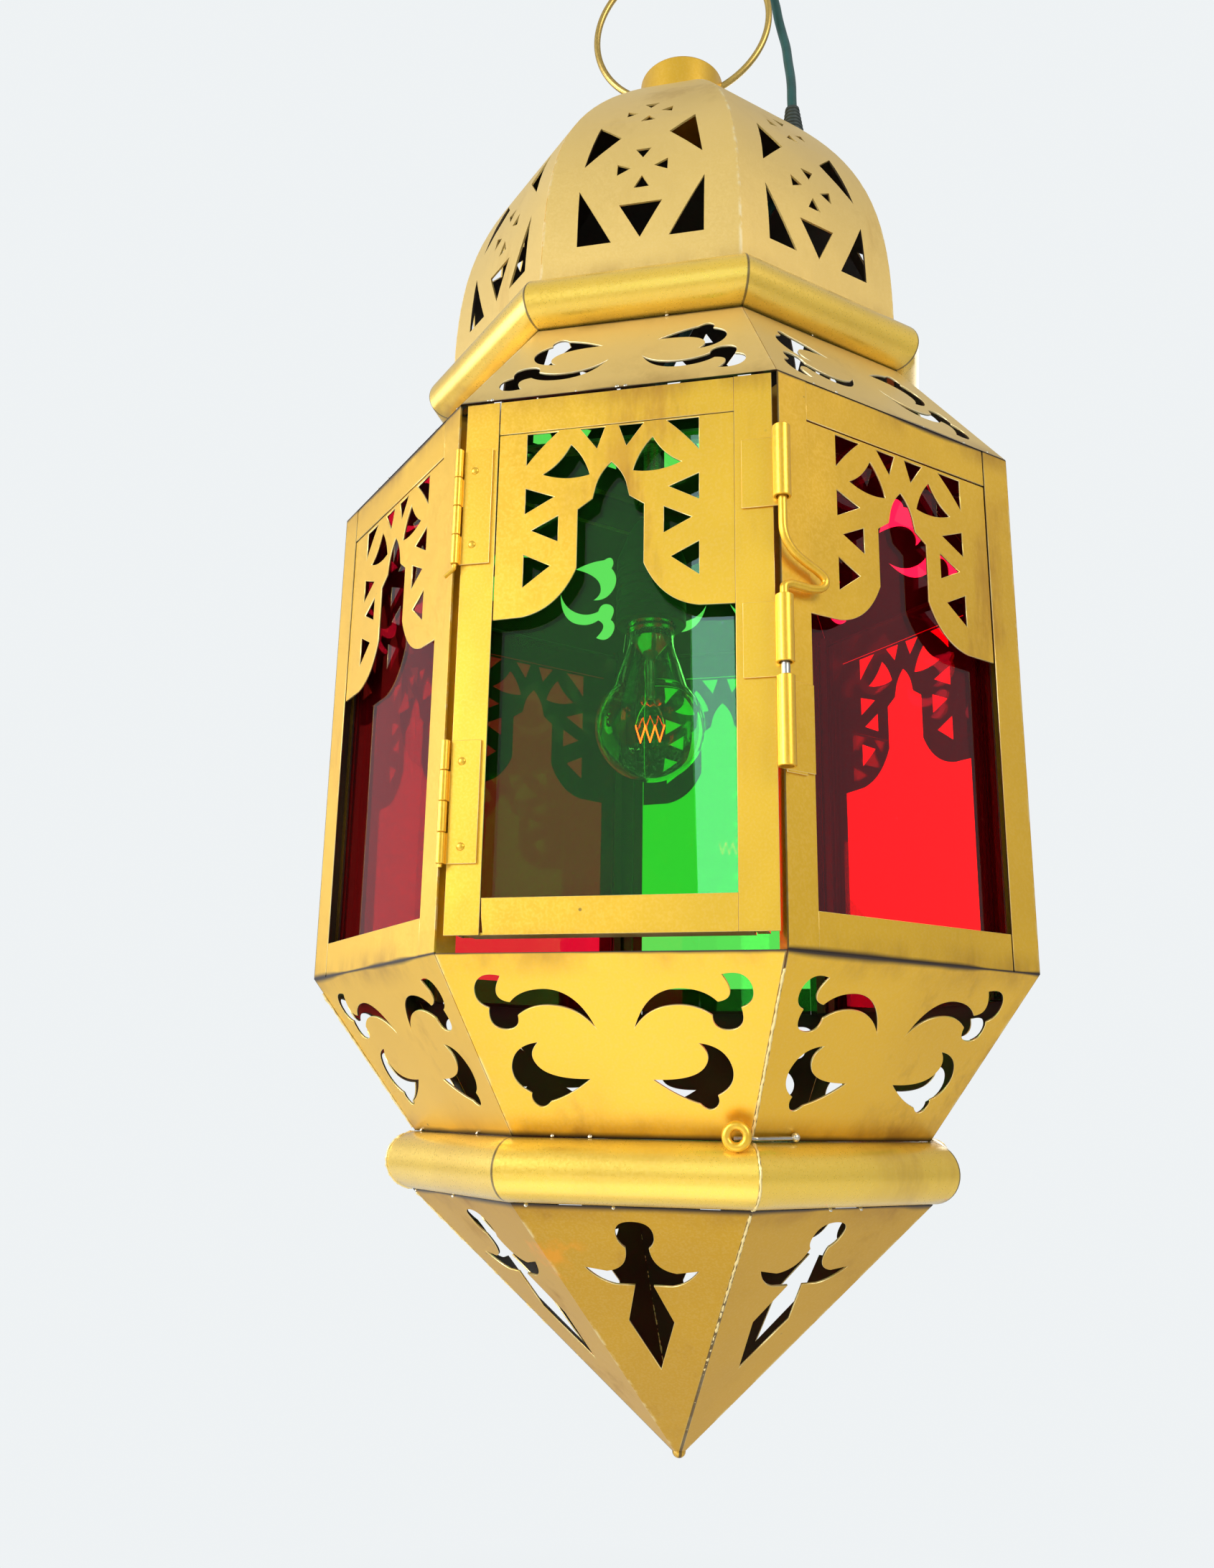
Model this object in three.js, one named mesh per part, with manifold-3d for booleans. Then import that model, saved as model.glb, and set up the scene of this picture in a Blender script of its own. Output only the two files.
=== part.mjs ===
// Eight-sided pierced metal lantern with coloured glass, on a ring under a ceiling hook.
// Millimetres, Z up. Heights are written from the body's bottom edge; the last step moves
// everything so that the ceiling face lies at Z = 0. Side 0, the door, faces -Y.
import * as THREE from 'three';
import { mergeVertices } from 'three/addons/utils/BufferGeometryUtils.js';
import Module from 'manifold-3d';

const wasm = await Module();
wasm.setup();

const GAP = 0.3;
const SHEET = 1;
const FLATNESS = 0.004;
const SIDES = 8;
const HALF_SIDE = Math.PI / SIDES;
const CURVE_STEP = 20;

// Body of the lantern
const BODY_CORNER = 184;
const BODY_TOP = 245;
const HALF_FACE = BODY_CORNER * Math.sin(HALF_SIDE);
const NECK_CORNER = 131;
const FRUSTUM_END = -71.15;
const LOWER_ROLL_END = -97.7;
const CONE_TIP = -218.2;
const SKIRT_END = 312;
const DOME_START = 338;
const ROLL_BULGE = 13;
const ROLL_LIP = 5;

// Dome profile: corner radius and height above the dome's start, as one cubic curve
const DOME_CURVE = [[NECK_CORNER, 0], [NECK_CORNER, 82.8], [117.5, 121.5], [21, 203.9]];
const DOME_STEPS = 6;

// Knob, ring, hook and ceiling rose
const KNOB_RADIUS = 25.2;
const KNOB_TOP = 556.5;
const KNOB_DEPTH = 30.5;
const KNOB_SEGMENTS = 20;
const RING_RADIUS = 54.7;
const RING_WIRE = 2;
const RING_HOLE_DROP = 4.55;
const RING_HEIGHT = KNOB_TOP - RING_HOLE_DROP + Math.sqrt(RING_RADIUS ** 2 - KNOB_RADIUS ** 2);
const HOOK_WIRE = 2.5;
const HOOK_BEND = 9;
const HOOK_LENGTH = 56.8;
const HOOK_SCREW_END = 3;
const CEILING = RING_HEIGHT + RING_RADIUS + HOOK_LENGTH;
const HOOK_TOP = CEILING - HOOK_SCREW_END;
const ROSE_RADIUS = 35;
const ROSE_DEPTH = 22;

// Walls and door
const STILE = 15.9;
const WINDOW_HALF = HALF_FACE - STILE;
const WINDOW_BOTTOM = 16;
const WINDOW_TOP = 227;
const ARCH_STEP_BACK = 0.6;
const CHANNEL_INSET = 6.4;
const CHANNEL_OUTER = HALF_FACE - CHANNEL_INSET;
const ARCH_LAP = 2.5;
const CHANNEL_REACH = 5;
const GLASS_SETBACK = 8;
const GLASS = 3;
const PANE_TOP = 239;
const DOOR_LEFT = 3.4 - HALF_FACE;
const DOOR_RIGHT = HALF_FACE - 2.4;
const DOOR_BOTTOM = 7;
const DOOR_TOP = 244;
const DOOR_STILE = 18.4;
const DOOR_WINDOW_HALF = HALF_FACE - DOOR_STILE;
const DOOR_WINDOW_BOTTOM = 22;
const DOOR_WINDOW_TOP = 228;
const DOOR_ARCH_SHIFT = [-1, 2];

// Hinges at the left corner of the door: offsets are across the door and out from its face
const PIN_INSET = 1.41;
const PIN_ACROSS = PIN_INSET - HALF_FACE;
const PIN_OUT = 2.2;
const PIN_RADIUS = 0.9;
const KNUCKLE_RADIUS = 1.9;
const LEAF = 0.8;
const LEAF_WIDTH = 15;
const LEAF_EDGE = PIN_ACROSS + LEAF_WIDTH;
const HINGES = [['upper', 167, 221], ['lower', 36, 88]];
const KNUCKLES = 4;

// Sliding bolt at the right corner of the door
const BOLT_PAST_CORNER = 1.69;
const BOLT_ACROSS = HALF_FACE + BOLT_PAST_CORNER;
const BOLT_OUT = 4;
const BOLT_WIRE = 1.8;
const TUBE_OUTER = 3.7;
const TUBE_BORE = 2.7;
const UPPER_GUIDE = [184, 216];
const UPPER_PLATE = [182, 213];
const LOWER_GUIDE = [112.5, 141];
const LOWER_PLATE = [108, 140];
const GUIDE_PLATE_WIDTH = 17.1;
const GUIDE_PLATE_EDGE = BOLT_ACROSS - GUIDE_PLATE_WIDTH;
const KEEPER = [70, 107];
const KEEPER_PLATE_WIDTH = 15.4;
const KEEPER_PLATE_EDGE = KEEPER_PLATE_WIDTH - HALF_FACE;
const BOLT_TIP = KEEPER[1] + GAP;
const BOLT_TOP = UPPER_GUIDE[1] - 10;
// Handle of the bolt: reach from its shank and height above the lower guide
const HANDLE = [
  [0, 2], [0.4, 4.2], [3.4, 5.7], [8, 5.8], [14, 6], [19, 7.1], [21.8, 9.5], [21.4, 12.4],
  [17.5, 14.7], [11.5, 17], [6, 19.8], [2, 24], [0.3, 28.5], [0, 33],
];

// Wire eye in the groove over the lower roll
const EYE_RADIUS = 4.2;
const EYE_WIRE = 1.9;
const EYE_ACROSS = 45.5;
const EYE_OUT = 10;
const EYE_RISE = 1.15;
const PIN_SEAT = 2.8;
const PIN_RUN = 22;

// Lamp and flex
const LAMP_ACROSS = -16.5;
const BULB_HEIGHT = 141.7;
const BULB_RADIUS = 30;
const BULB_NECK = 12.6;
const BULB_WALL = 0.9;
const CAP_BOTTOM = 194.7;
const CAP_TOP = 218.7;
const CAP_RADIUS = 13.2;
const HOLDER_RADIUS = 19.5;
const HOLDER_NECK_RADIUS = 12.5;
const HOLDER_BOTTOM = 200;
const HOLDER_SHOULDER = 238;
const HOLDER_NECK = 256;
const HOLDER_TOP = 262;
const NIPPLE_RADIUS = 5;
const NIPPLE_DEPTH = 10;
const NIPPLE_TOP = 326;
const STRAP = 2;
const STRAP_HALF = 7;
const NUT = 3.5;
const NUT_RADIUS = 8.5;
const STEM_FOOT = CAP_BOTTOM - 8.7;
const STEM_HEAD = BULB_HEIGHT + 16.3;
const STEM_RADIUS = 2.4;
const FILAMENT_SPAN = 11;
const FILAMENT_WIRE = 0.8;
const CORD_RADIUS = 2.8;
const GLAND_ARC = 164;
const GLAND_SIDEWAYS = -12;
const GLAND_EXIT = [68.5, -12];
const GLAND_FLANGE = 12.5;
const GLAND_FLANGE_DEPTH = 3;
const BOOT_RADIUS = 6.4;
const BOOT_TIP_RADIUS = 4.1;
const BOOT_FOOT = 484;
const BOOT_SHOULDER = 499;
const BOOT_TOP = 516;
const CORD_ROUTE = [
  [22.5, 7, CEILING - 10], [23, 7, CEILING - 18], [25.5, 8, 683], [32, 9.5, 671], [41, 10.5, 657],
  [50, 10.5, 640], [57.1, 10, 620.2], [59.9, 9, 603.2], [62.3, 7, 589.6], [64.5, 4, 576.8],
  [65.9, 0, 561.6], [67.3, -4, 548.1], [68.1, -8, 536], [68.3, -11, 525], [68.5, -12, 514],
  [68.5, -12, 500], [68, -12, 488], [65.5, -12, 474], [57, -11, 456], [44, -9, 438],
  [28, -7, 416], [10, -5, 391], [-4, -2, 367], [-13, -0.5, 347], [-16.3, 0, 332],
  [-16.5, 0, 324], [-16.5, 0, 315],
];

const GOLD = { color: 0xd3a53c, metalness: 0.85, roughness: 0.4 };
const PALE_GOLD = { color: 0xc9a35a, metalness: 0.75, roughness: 0.5 };
const STEEL = { color: 0x9a9894, metalness: 0.9, roughness: 0.35 };
const RED_GLASS = { color: 0xb80a28, metalness: 0, roughness: 0.05 };
const GREEN_GLASS = { color: 0x0a8a3a, metalness: 0, roughness: 0.05 };
const CLEAR_GLASS = { color: 0xdfe6e2, metalness: 0, roughness: 0.03 };
const FILAMENT = { color: 0xff9a3c, metalness: 0, roughness: 0.4 };
const DARK_PLASTIC = { color: 0x1c2422, metalness: 0, roughness: 0.5 };
const CORD_GREEN = { color: 0x123f3a, metalness: 0, roughness: 0.5 };

const object = new THREE.Group();
object.name = 'octagonal_lantern';
const hung = new THREE.Group();
hung.position.z = -CEILING;
object.add(hung);

function apothem(cornerRadius) {
  return cornerRadius * Math.cos(HALF_SIDE);
}

// Closed solid for joining and cutting
function solid(geometry) {
  const bare = geometry.clone();
  bare.deleteAttribute('normal');
  bare.deleteAttribute('uv');
  const welded = mergeVertices(bare, 1e-4);
  return new wasm.Manifold(new wasm.Mesh({
    numProp: 3,
    vertProperties: new Float32Array(welded.attributes.position.array),
    triVerts: new Uint32Array(welded.index.array),
  }));
}

function geometryOf(body) {
  const mesh = body.getMesh();
  const geometry = new THREE.BufferGeometry();
  geometry.setAttribute('position', new THREE.BufferAttribute(mesh.vertProperties, 3));
  geometry.setIndex(new THREE.BufferAttribute(mesh.triVerts, 1));
  return geometry;
}

function joined(first, ...others) {
  return others.reduce((sum, other) => sum.add(other), first);
}

// Adds one named piece, its flat faces cleared of spare triangles, on its side of the octagon
function place(name, body, look, side = 0, across = 0) {
  const lean = body.asOriginal().simplify(FLATNESS);
  const mesh = new THREE.Mesh(geometryOf(lean), new THREE.MeshStandardMaterial(look));
  mesh.name = name;
  mesh.rotation.z = side * 2 * HALF_SIDE;
  mesh.position.x = across;
  hung.add(mesh);
}

function turned(body, side) {
  return solid(geometryOf(body).rotateZ(side * 2 * HALF_SIDE));
}

function block(x, y, z) {
  const box = new THREE.BoxGeometry(x[1] - x[0], y[1] - y[0], z[1] - z[0]);
  return solid(box.translate((x[0] + x[1]) / 2, (y[0] + y[1]) / 2, (z[0] + z[1]) / 2));
}

function cylinder(x, y, radius, z, segments = 24, topRadius = radius) {
  const round = new THREE.CylinderGeometry(topRadius, radius, z[1] - z[0], segments);
  return solid(round.rotateX(Math.PI / 2).translate(x, y, (z[0] + z[1]) / 2));
}

function lathe(profile, segments = 32, start = 0) {
  const points = profile.map(([r, z]) => new THREE.Vector2(r, z));
  if (THREE.ShapeUtils.isClockWise(points)) points.reverse();
  points.push(points[0].clone());
  return solid(new THREE.LatheGeometry(points, segments, start).rotateX(Math.PI / 2));
}

// Round wire or tube along a smooth curve through the given points
function alongPath(points, radius, steps, sides = 8) {
  const ring = new THREE.Shape();
  for (let i = 0; i < sides; i += 1) {
    const angle = (i / sides) * 2 * Math.PI;
    const x = radius * Math.cos(angle);
    const y = radius * Math.sin(angle);
    if (i === 0) ring.moveTo(x, y);
    else ring.lineTo(x, y);
  }
  const route = new THREE.CatmullRomCurve3(points.map((p) => new THREE.Vector3(...p)));
  return solid(new THREE.ExtrudeGeometry(ring, { steps, extrudePath: route }));
}

// Outline from a start point, straight [x, y] pieces and curved [cx, cy, x, y] pieces
function trace(pieces) {
  const points = [];
  for (const piece of pieces) {
    const end = new THREE.Vector2(...piece.slice(-2));
    if (piece.length === 2) {
      points.push(end);
      continue;
    }
    const from = points[points.length - 1];
    const curve = new THREE.QuadraticBezierCurve(from, new THREE.Vector2(piece[0], piece[1]), end);
    const count = Math.ceil(curve.getLength() / CURVE_STEP);
    points.push(...curve.getPoints(count).slice(1));
  }
  if (points[0].distanceTo(points[points.length - 1]) < 1e-6) points.pop();
  return points;
}

function mirrored(points) {
  return points.map((p) => new THREE.Vector2(-p.x, p.y)).reverse();
}

function bothSides(outlines) {
  return outlines.flatMap((outline) => [outline, mirrored(outline)]);
}

function moved(points, x, y) {
  return points.map((p) => new THREE.Vector2(p.x + x, p.y + y));
}

function rectangle(left, bottom, right, top) {
  return trace([[left, bottom], [right, bottom], [right, top], [left, top]]);
}

// Flat prism in panel axes: x across, y up the slope, z out of the face
function slab(outline, back, front, axes) {
  const flat = new THREE.ExtrudeGeometry(new THREE.Shape(outline), {
    depth: front - back, bevelEnabled: false,
  });
  return solid(flat.translate(0, 0, back).applyMatrix4(axes));
}

function pierced(body, holes, axes) {
  return holes.reduce((rest, hole) => rest.subtract(slab(hole, -4, 4, axes)), body);
}

// Panel axes of side 0 on the slope between two heights; y runs away from the first one
function slope(z0, corner0, z1, corner1) {
  const from = new THREE.Vector3(0, -apothem(corner0), z0);
  const up = new THREE.Vector3(0, -apothem(corner1), z1).sub(from).normalize();
  const across = new THREE.Vector3(z1 > z0 ? 1 : -1, 0, 0);
  const out = new THREE.Vector3().crossVectors(across, up);
  return new THREE.Matrix4().makeBasis(across, up, out).setPosition(from);
}

// Mitre: the sector that one side, or a pair of sides, may fill between two heights
function sector(z0, z1, sides = 1) {
  const half = sides * HALF_SIDE;
  const tip = GAP / 2 / Math.sin(half);
  const reach = 2 * BODY_CORNER;
  const width = reach * Math.tan(half);
  const plan = trace([[0, -tip], [-width, -tip - reach], [width, -tip - reach]]);
  const depth = z1 - z0 - GAP;
  const prism = new THREE.ExtrudeGeometry(new THREE.Shape(plan), { depth, bevelEnabled: false });
  prism.translate(0, 0, z0 + GAP / 2);
  return solid(prism.rotateZ((sides - 1) * HALF_SIDE));
}

// Pierced scrolls of the two sloping storeys: one comma by the wide edge, one scroll above it
const COMMA = trace([
  [-8, 34], [-14, 17, -27, 16.5], [-37, 16.5, -42, 22.5], [-51, 21, -44.5, 10.5],
  [-54, 8, -56, 16], [-57, 23, -51, 25], [-53, 34.5, -45.5, 35], [-39, 35, -39.5, 28.5],
  [-33, 23, -24, 24], [-14, 25, -8, 34],
]);
const SCROLL = trace([
  [-13, 58], [-22, 66, -31, 69], [-34.5, 73.5, -37.5, 70.5], [-39.5, 68, -38.5, 65],
  [-46, 61, -45.5, 53], [-44, 42.5, -33, 41], [-38, 46, -35, 51], [-31, 58.5, -13, 58],
]);
const DAGGER_HALF = trace([
  [0, 9], [-8, 9, -8, 17], [-8, 22, -5, 25], [-5, 38, -15, 40], [-24.5, 38],
  [-19, 47, -12, 48.5], [-4, 48.5], [-10, 72], [0, 105],
]);
const DAGGER = [...DAGGER_HALF, ...mirrored(DAGGER_HALF).slice(1, -1)];

// Scalloped arch of a wall and the cut-outs around it
const ARCH_EDGE = trace([
  [-WINDOW_HALF - ARCH_LAP, 139], [-38, 139.5], [-22, 142, -14.5, 160], [-14.5, 187], [-8, 191.5], [-7, 196],
  [-5.5, 203, 0, 208],
]);
const ARCH = [
  ...ARCH_EDGE, ...mirrored(ARCH_EDGE).slice(1), ...trace([
    [WINDOW_HALF + ARCH_LAP, WINDOW_TOP + ARCH_LAP],
    [-WINDOW_HALF - ARCH_LAP, WINDOW_TOP + ARCH_LAP],
  ]),
];
const ARCH_CUTS = bothSides([
  trace([[-38, 225], [-24, 225], [-31.5, 218.5, -38, 210]]),
  trace([[-14, 225], [-3, 225], [-6.5, 215]]),
  trace([[-18, 218], [-22.5, 209, -30.5, 205], [-20, 200.5, -9.5, 203], [-12, 212, -18, 218]]),
  trace([[-38, 199], [-25, 194], [-38, 187]]),
  trace([[-23, 185], [-35, 179], [-23, 173]]),
  trace([[-38, 168], [-26, 162], [-38, 153]]),
]);

// Triangles of a dome side; y is the distance up the curved face
const DOME_CUTS = [
  ...bothSides([
    trace([[-32, 53.5], [-32, 19], [-14.5, 19]]),
    trace([[-13, 69], [-6, 65], [-13, 61]]),
    trace([[-25, 105.5], [-12.5, 91.5], [-30.5, 70.5]]),
    trace([[-12, 122], [-6, 118], [-12, 115]]),
  ]),
  trace([[-11, 41], [11, 41], [0, 20]]),
  trace([[-4, 51], [4, 51], [0, 59]]),
  trace([[-4, 79], [4, 79], [0, 72]]),
  trace([[-4, 107], [4, 107], [0, 113]]),
  trace([[-4, 131], [4, 131], [0, 124]]),
];

// Rib that runs up a wall: plan drawn across and out from the face
function upright(plan, bottom, top) {
  const rib = new THREE.ExtrudeGeometry(new THREE.Shape(plan), {
    depth: top - bottom, bevelEnabled: false,
  });
  return rib.rotateX(Math.PI / 2).translate(0, top, 0);
}

// Ledge that runs across a wall: section drawn inwards and up
function ledge(section, left, right) {
  const run = new THREE.ExtrudeGeometry(new THREE.Shape(section), {
    depth: right - left, bevelEnabled: false,
  });
  return run.rotateY(Math.PI / 2).translate(left, 0, 0);
}

// Sheet frame with its arch and the channel that holds the glass behind it
function windowWall(edge, opening, archShift, channelHalf) {
  const [left, bottom, right, top] = edge;
  const stop = GLASS_SETBACK - GAP;
  const back = GLASS_SETBACK + GLASS + GAP;
  const inner = channelHalf - SHEET;
  const reach = channelHalf - CHANNEL_REACH;
  const seat = SHEET / 2;
  const rib = trace([
    [inner, -seat], [channelHalf, -seat], [channelHalf, -back - SHEET], [reach, -back - SHEET],
    [reach, -back], [inner, -back], [inner, -stop], [reach, -stop], [reach, -stop + SHEET],
    [inner, -stop + SHEET],
  ]);
  const shelf = trace([
    [seat, bottom], [back + SHEET, bottom], [back + SHEET, bottom + 7], [back, bottom + 7],
    [back, bottom + SHEET], [seat, bottom + SHEET],
  ]);
  const shift = (points) => moved(points, ...archShift);
  const face = slope(0, BODY_CORNER, BODY_TOP, BODY_CORNER);
  const frame = pierced(
    slab(rectangle(left, bottom, right, top), -SHEET, 0, face), [rectangle(...opening)], face,
  );
  const arch = pierced(
    slab(shift(ARCH), -SHEET - ARCH_STEP_BACK, -ARCH_STEP_BACK, face), ARCH_CUTS.map(shift), face,
  );
  const channel = [
    upright(rib, bottom + SHEET / 2, top - 1.5),
    upright(mirrored(rib), bottom + SHEET / 2, top - 1.5),
    ledge(shelf, -channelHalf + SHEET / 2, channelHalf - SHEET / 2),
  ];
  return joined(frame, arch, ...channel.map((piece) => solid(piece.applyMatrix4(face))));
}

function fixedWall() {
  const half = 1.1 * HALF_FACE;
  const edge = [-half, GAP / 2, half, BODY_TOP - GAP / 2];
  const opening = [-WINDOW_HALF, WINDOW_BOTTOM, WINDOW_HALF, WINDOW_TOP];
  const wall = windowWall(edge, opening, [0, 0], CHANNEL_OUTER);
  return wall.intersect(sector(0, BODY_TOP));
}

function door() {
  const edge = [DOOR_LEFT, DOOR_BOTTOM, DOOR_RIGHT, DOOR_TOP];
  const opening = [
    -DOOR_WINDOW_HALF, DOOR_WINDOW_BOTTOM, DOOR_WINDOW_HALF, DOOR_WINDOW_TOP,
  ];
  return windowWall(edge, opening, DOOR_ARCH_SHIFT, CHANNEL_OUTER - SHEET);
}

function pane(bottom, channelHalf) {
  const half = channelHalf - SHEET - GAP;
  const front = -apothem(BODY_CORNER) + GLASS_SETBACK;
  return block([-half, half], [front, front + GLASS], [bottom + SHEET + GAP, PANE_TOP]);
}

// Flat pierced panel of a sloping storey
function slopePanel(z0, corner0, z1, corner1, holes) {
  const length = Math.hypot(z1 - z0, apothem(corner1) - apothem(corner0));
  const half = Math.max(corner0, corner1) * Math.sin(HALF_SIDE) + 3;
  const face = slope(z0, corner0, z1, corner1);
  const panel = slab(rectangle(-half, -3, half, length + 3), -SHEET, 0, face);
  const storey = sector(Math.min(z0, z1), Math.max(z0, z1));
  return pierced(panel.intersect(storey), holes, face);
}

// Half-round hollow roll round the octagon with inward lips
function roll(z0, z1) {
  const low = z0 + GAP / 2;
  const high = z1 - GAP / 2;
  const middle = (low + high) / 2;
  const half = (high - low) / 2;
  const lip = NECK_CORNER - ROLL_LIP;
  const arc = (bulge, rise, count, sign) => {
    const points = [];
    for (let i = 0; i <= count; i += 1) {
      const angle = sign * (Math.PI / 2 - (i / count) * Math.PI);
      points.push([NECK_CORNER + bulge * Math.cos(angle), middle + rise * Math.sin(angle)]);
    }
    return points;
  };
  const profile = [
    [lip, high], ...arc(ROLL_BULGE, half, 6, 1), [lip, low], [lip, low + SHEET],
    ...arc(ROLL_BULGE - SHEET, half - SHEET, 4, -1), [lip, high - SHEET],
  ];
  return lathe(profile, SIDES, HALF_SIDE);
}

// Pointed bottom folded from one sheet, with the solder bead on its tip
function cone() {
  const top = LOWER_ROLL_END - GAP / 2;
  const drop = LOWER_ROLL_END - CONE_TIP;
  const rise = drop / NECK_CORNER;
  const thick = SHEET * Math.hypot(1, drop / apothem(NECK_CORNER));
  const end = 1.5;
  const tip = CONE_TIP + rise * end;
  const shell = lathe([
    [NECK_CORNER - GAP / 2 / rise, top], [end, tip], [end, tip + thick],
    [NECK_CORNER - GAP / 2 / rise - thick / rise, top],
  ], SIDES, HALF_SIDE);
  const bead = solid(new THREE.SphereGeometry(3.2, 8, 5).translate(0, 0, CONE_TIP + 2.6));
  const dagger = slab(DAGGER, -4, 4, slope(LOWER_ROLL_END, NECK_CORNER, CONE_TIP, 0));
  let body = shell.add(bead);
  for (let side = 0; side < SIDES; side += 1) body = body.subtract(turned(dagger, side));
  return body;
}

const domeCurve = new THREE.CubicBezierCurve(
  ...DOME_CURVE.map(([r, z]) => new THREE.Vector2(apothem(r), DOME_START + z)),
);

// Axes on the dome of side 0 at a distance up its face
function domeFrame(distance) {
  const at = distance / domeCurve.getLength();
  const point = domeCurve.getPointAt(at);
  const tangent = domeCurve.getTangentAt(at);
  const across = new THREE.Vector3(1, 0, 0);
  const up = new THREE.Vector3(0, -tangent.x, tangent.y);
  const out = new THREE.Vector3().crossVectors(across, up);
  return new THREE.Matrix4().makeBasis(across, up, out).setPosition(0, -point.x, point.y);
}

// Everything inside one dome side's curved face, or inside its inner skin
function domeInside(inset) {
  const profile = [];
  for (let i = 0; i <= DOME_STEPS; i += 1) {
    const point = domeCurve.getPointAt(i / DOME_STEPS);
    const tangent = domeCurve.getTangentAt(i / DOME_STEPS);
    profile.push([point.x - inset * tangent.y, point.y + inset * tangent.x]);
  }
  const last = profile[DOME_STEPS];
  const plan = trace([[-1, DOME_START - 5], [profile[0][0], DOME_START - 5], ...profile]);
  plan.push(new THREE.Vector2(-1, last[1]));
  const width = NECK_CORNER;
  const prism = new THREE.ExtrudeGeometry(new THREE.Shape(plan), {
    depth: 2 * width, bevelEnabled: false,
  });
  prism.translate(0, 0, -width);
  const axes = new THREE.Matrix4().makeBasis(
    new THREE.Vector3(0, -1, 0), new THREE.Vector3(0, 0, 1), new THREE.Vector3(-1, 0, 0),
  );
  return solid(prism.applyMatrix4(axes));
}

// Two neighbouring dome sides folded from one sheet
function domePair() {
  const outer = domeInside(0);
  const inner = domeInside(SHEET);
  let pair = outer.intersect(turned(outer, 1));
  pair = pair.subtract(inner.intersect(turned(inner, 1)));
  pair = pair.intersect(sector(DOME_START, KNOB_TOP, 2));
  for (const cut of DOME_CUTS) {
    const middle = cut.reduce((sum, p) => sum + p.y, 0) / cut.length;
    const tool = slab(moved(cut, 0, -middle), -4, 4, domeFrame(middle));
    pair = pair.subtract(tool).subtract(turned(tool, 1));
  }
  const round = KNOB_SEGMENTS;
  return pair.subtract(cylinder(0, 0, KNOB_RADIUS + GAP, [DOME_START, KNOB_TOP], round));
}

function ringWire(radius) {
  const torus = new THREE.TorusGeometry(RING_RADIUS, radius, 6, 32);
  return solid(torus.rotateX(Math.PI / 2).translate(0, 0, RING_HEIGHT));
}

function knob() {
  const foot = KNOB_TOP - KNOB_DEPTH;
  const hollow = [foot - 1, KNOB_TOP - SHEET];
  return cylinder(0, 0, KNOB_RADIUS, [foot, KNOB_TOP], KNOB_SEGMENTS)
    .subtract(cylinder(0, 0, KNOB_RADIUS - SHEET, hollow, KNOB_SEGMENTS))
    .subtract(ringWire(RING_WIRE + 2 * GAP));
}

// Ceiling hook whose bend carries the ring, open towards the door side
function hook() {
  const low = RING_HEIGHT + RING_RADIUS - RING_WIRE - GAP - HOOK_WIRE;
  const middle = low + HOOK_BEND;
  const points = [[0, -HOOK_BEND - 2.5, middle + 9], [0, -HOOK_BEND - 0.6, middle + 3]];
  for (let i = 0; i <= 6; i += 1) {
    const angle = Math.PI + (i / 6) * Math.PI;
    points.push([0, HOOK_BEND * Math.cos(angle), middle + HOOK_BEND * Math.sin(angle)]);
  }
  const neck = middle + 2 * HOOK_BEND;
  points.push([0, 7.6, middle + 6], [0, 3.2, middle + 12], [0, 0.4, neck]);
  points.push([0, 0, (neck + HOOK_TOP) / 2], [0, 0, HOOK_TOP]);
  return alongPath(points, HOOK_WIRE, 22);
}

function cordSolid(radius) {
  return alongPath(CORD_ROUTE, radius, 30, 7);
}

function rose() {
  const foot = CEILING - ROSE_DEPTH;
  const bore = HOOK_WIRE + GAP;
  const body = lathe([
    [bore, foot], [12, foot], [22, foot + 3], [31, foot + 9.5], [ROSE_RADIUS, foot + 17],
    [ROSE_RADIUS, CEILING], [bore, CEILING],
  ], 20);
  return body.add(cylinder(0, 0, 2 * bore, [HOOK_TOP + GAP, CEILING], 12))
    .subtract(cordSolid(CORD_RADIUS + GAP));
}

// World point of a place across and out from the door's face
function atDoor(across, out) {
  return [across, -apothem(BODY_CORNER) - out];
}

function doorBlock(across, out, z) {
  const face = -apothem(BODY_CORNER);
  return block(across, [face - out[1], face - out[0]], z);
}

function knuckleSpan(index, bottom, top) {
  const height = (top - bottom - (KNUCKLES - 1) * GAP) / KNUCKLES;
  const start = top - index * (height + GAP);
  return [start - height, start];
}

// Hinge half that moves with the door: leaf on the stile and every second knuckle
function doorLeaf(bottom, top) {
  const pin = atDoor(PIN_ACROSS, PIN_OUT);
  const clear = PIN_ACROSS + KNUCKLE_RADIUS + 0.4;
  let leaf = doorBlock([clear, LEAF_EDGE], [GAP, GAP + LEAF], [bottom, top]);
  for (let i = 1; i < KNUCKLES; i += 2) {
    const span = knuckleSpan(i, bottom, top);
    leaf = leaf.add(doorBlock([PIN_ACROSS, clear + 1], [GAP, GAP + LEAF], span));
    leaf = leaf.add(cylinder(...pin, KNUCKLE_RADIUS, span, 12));
  }
  return leaf.subtract(cylinder(...pin, PIN_RADIUS + GAP, [bottom - 1, top + 1], 10));
}

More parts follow.
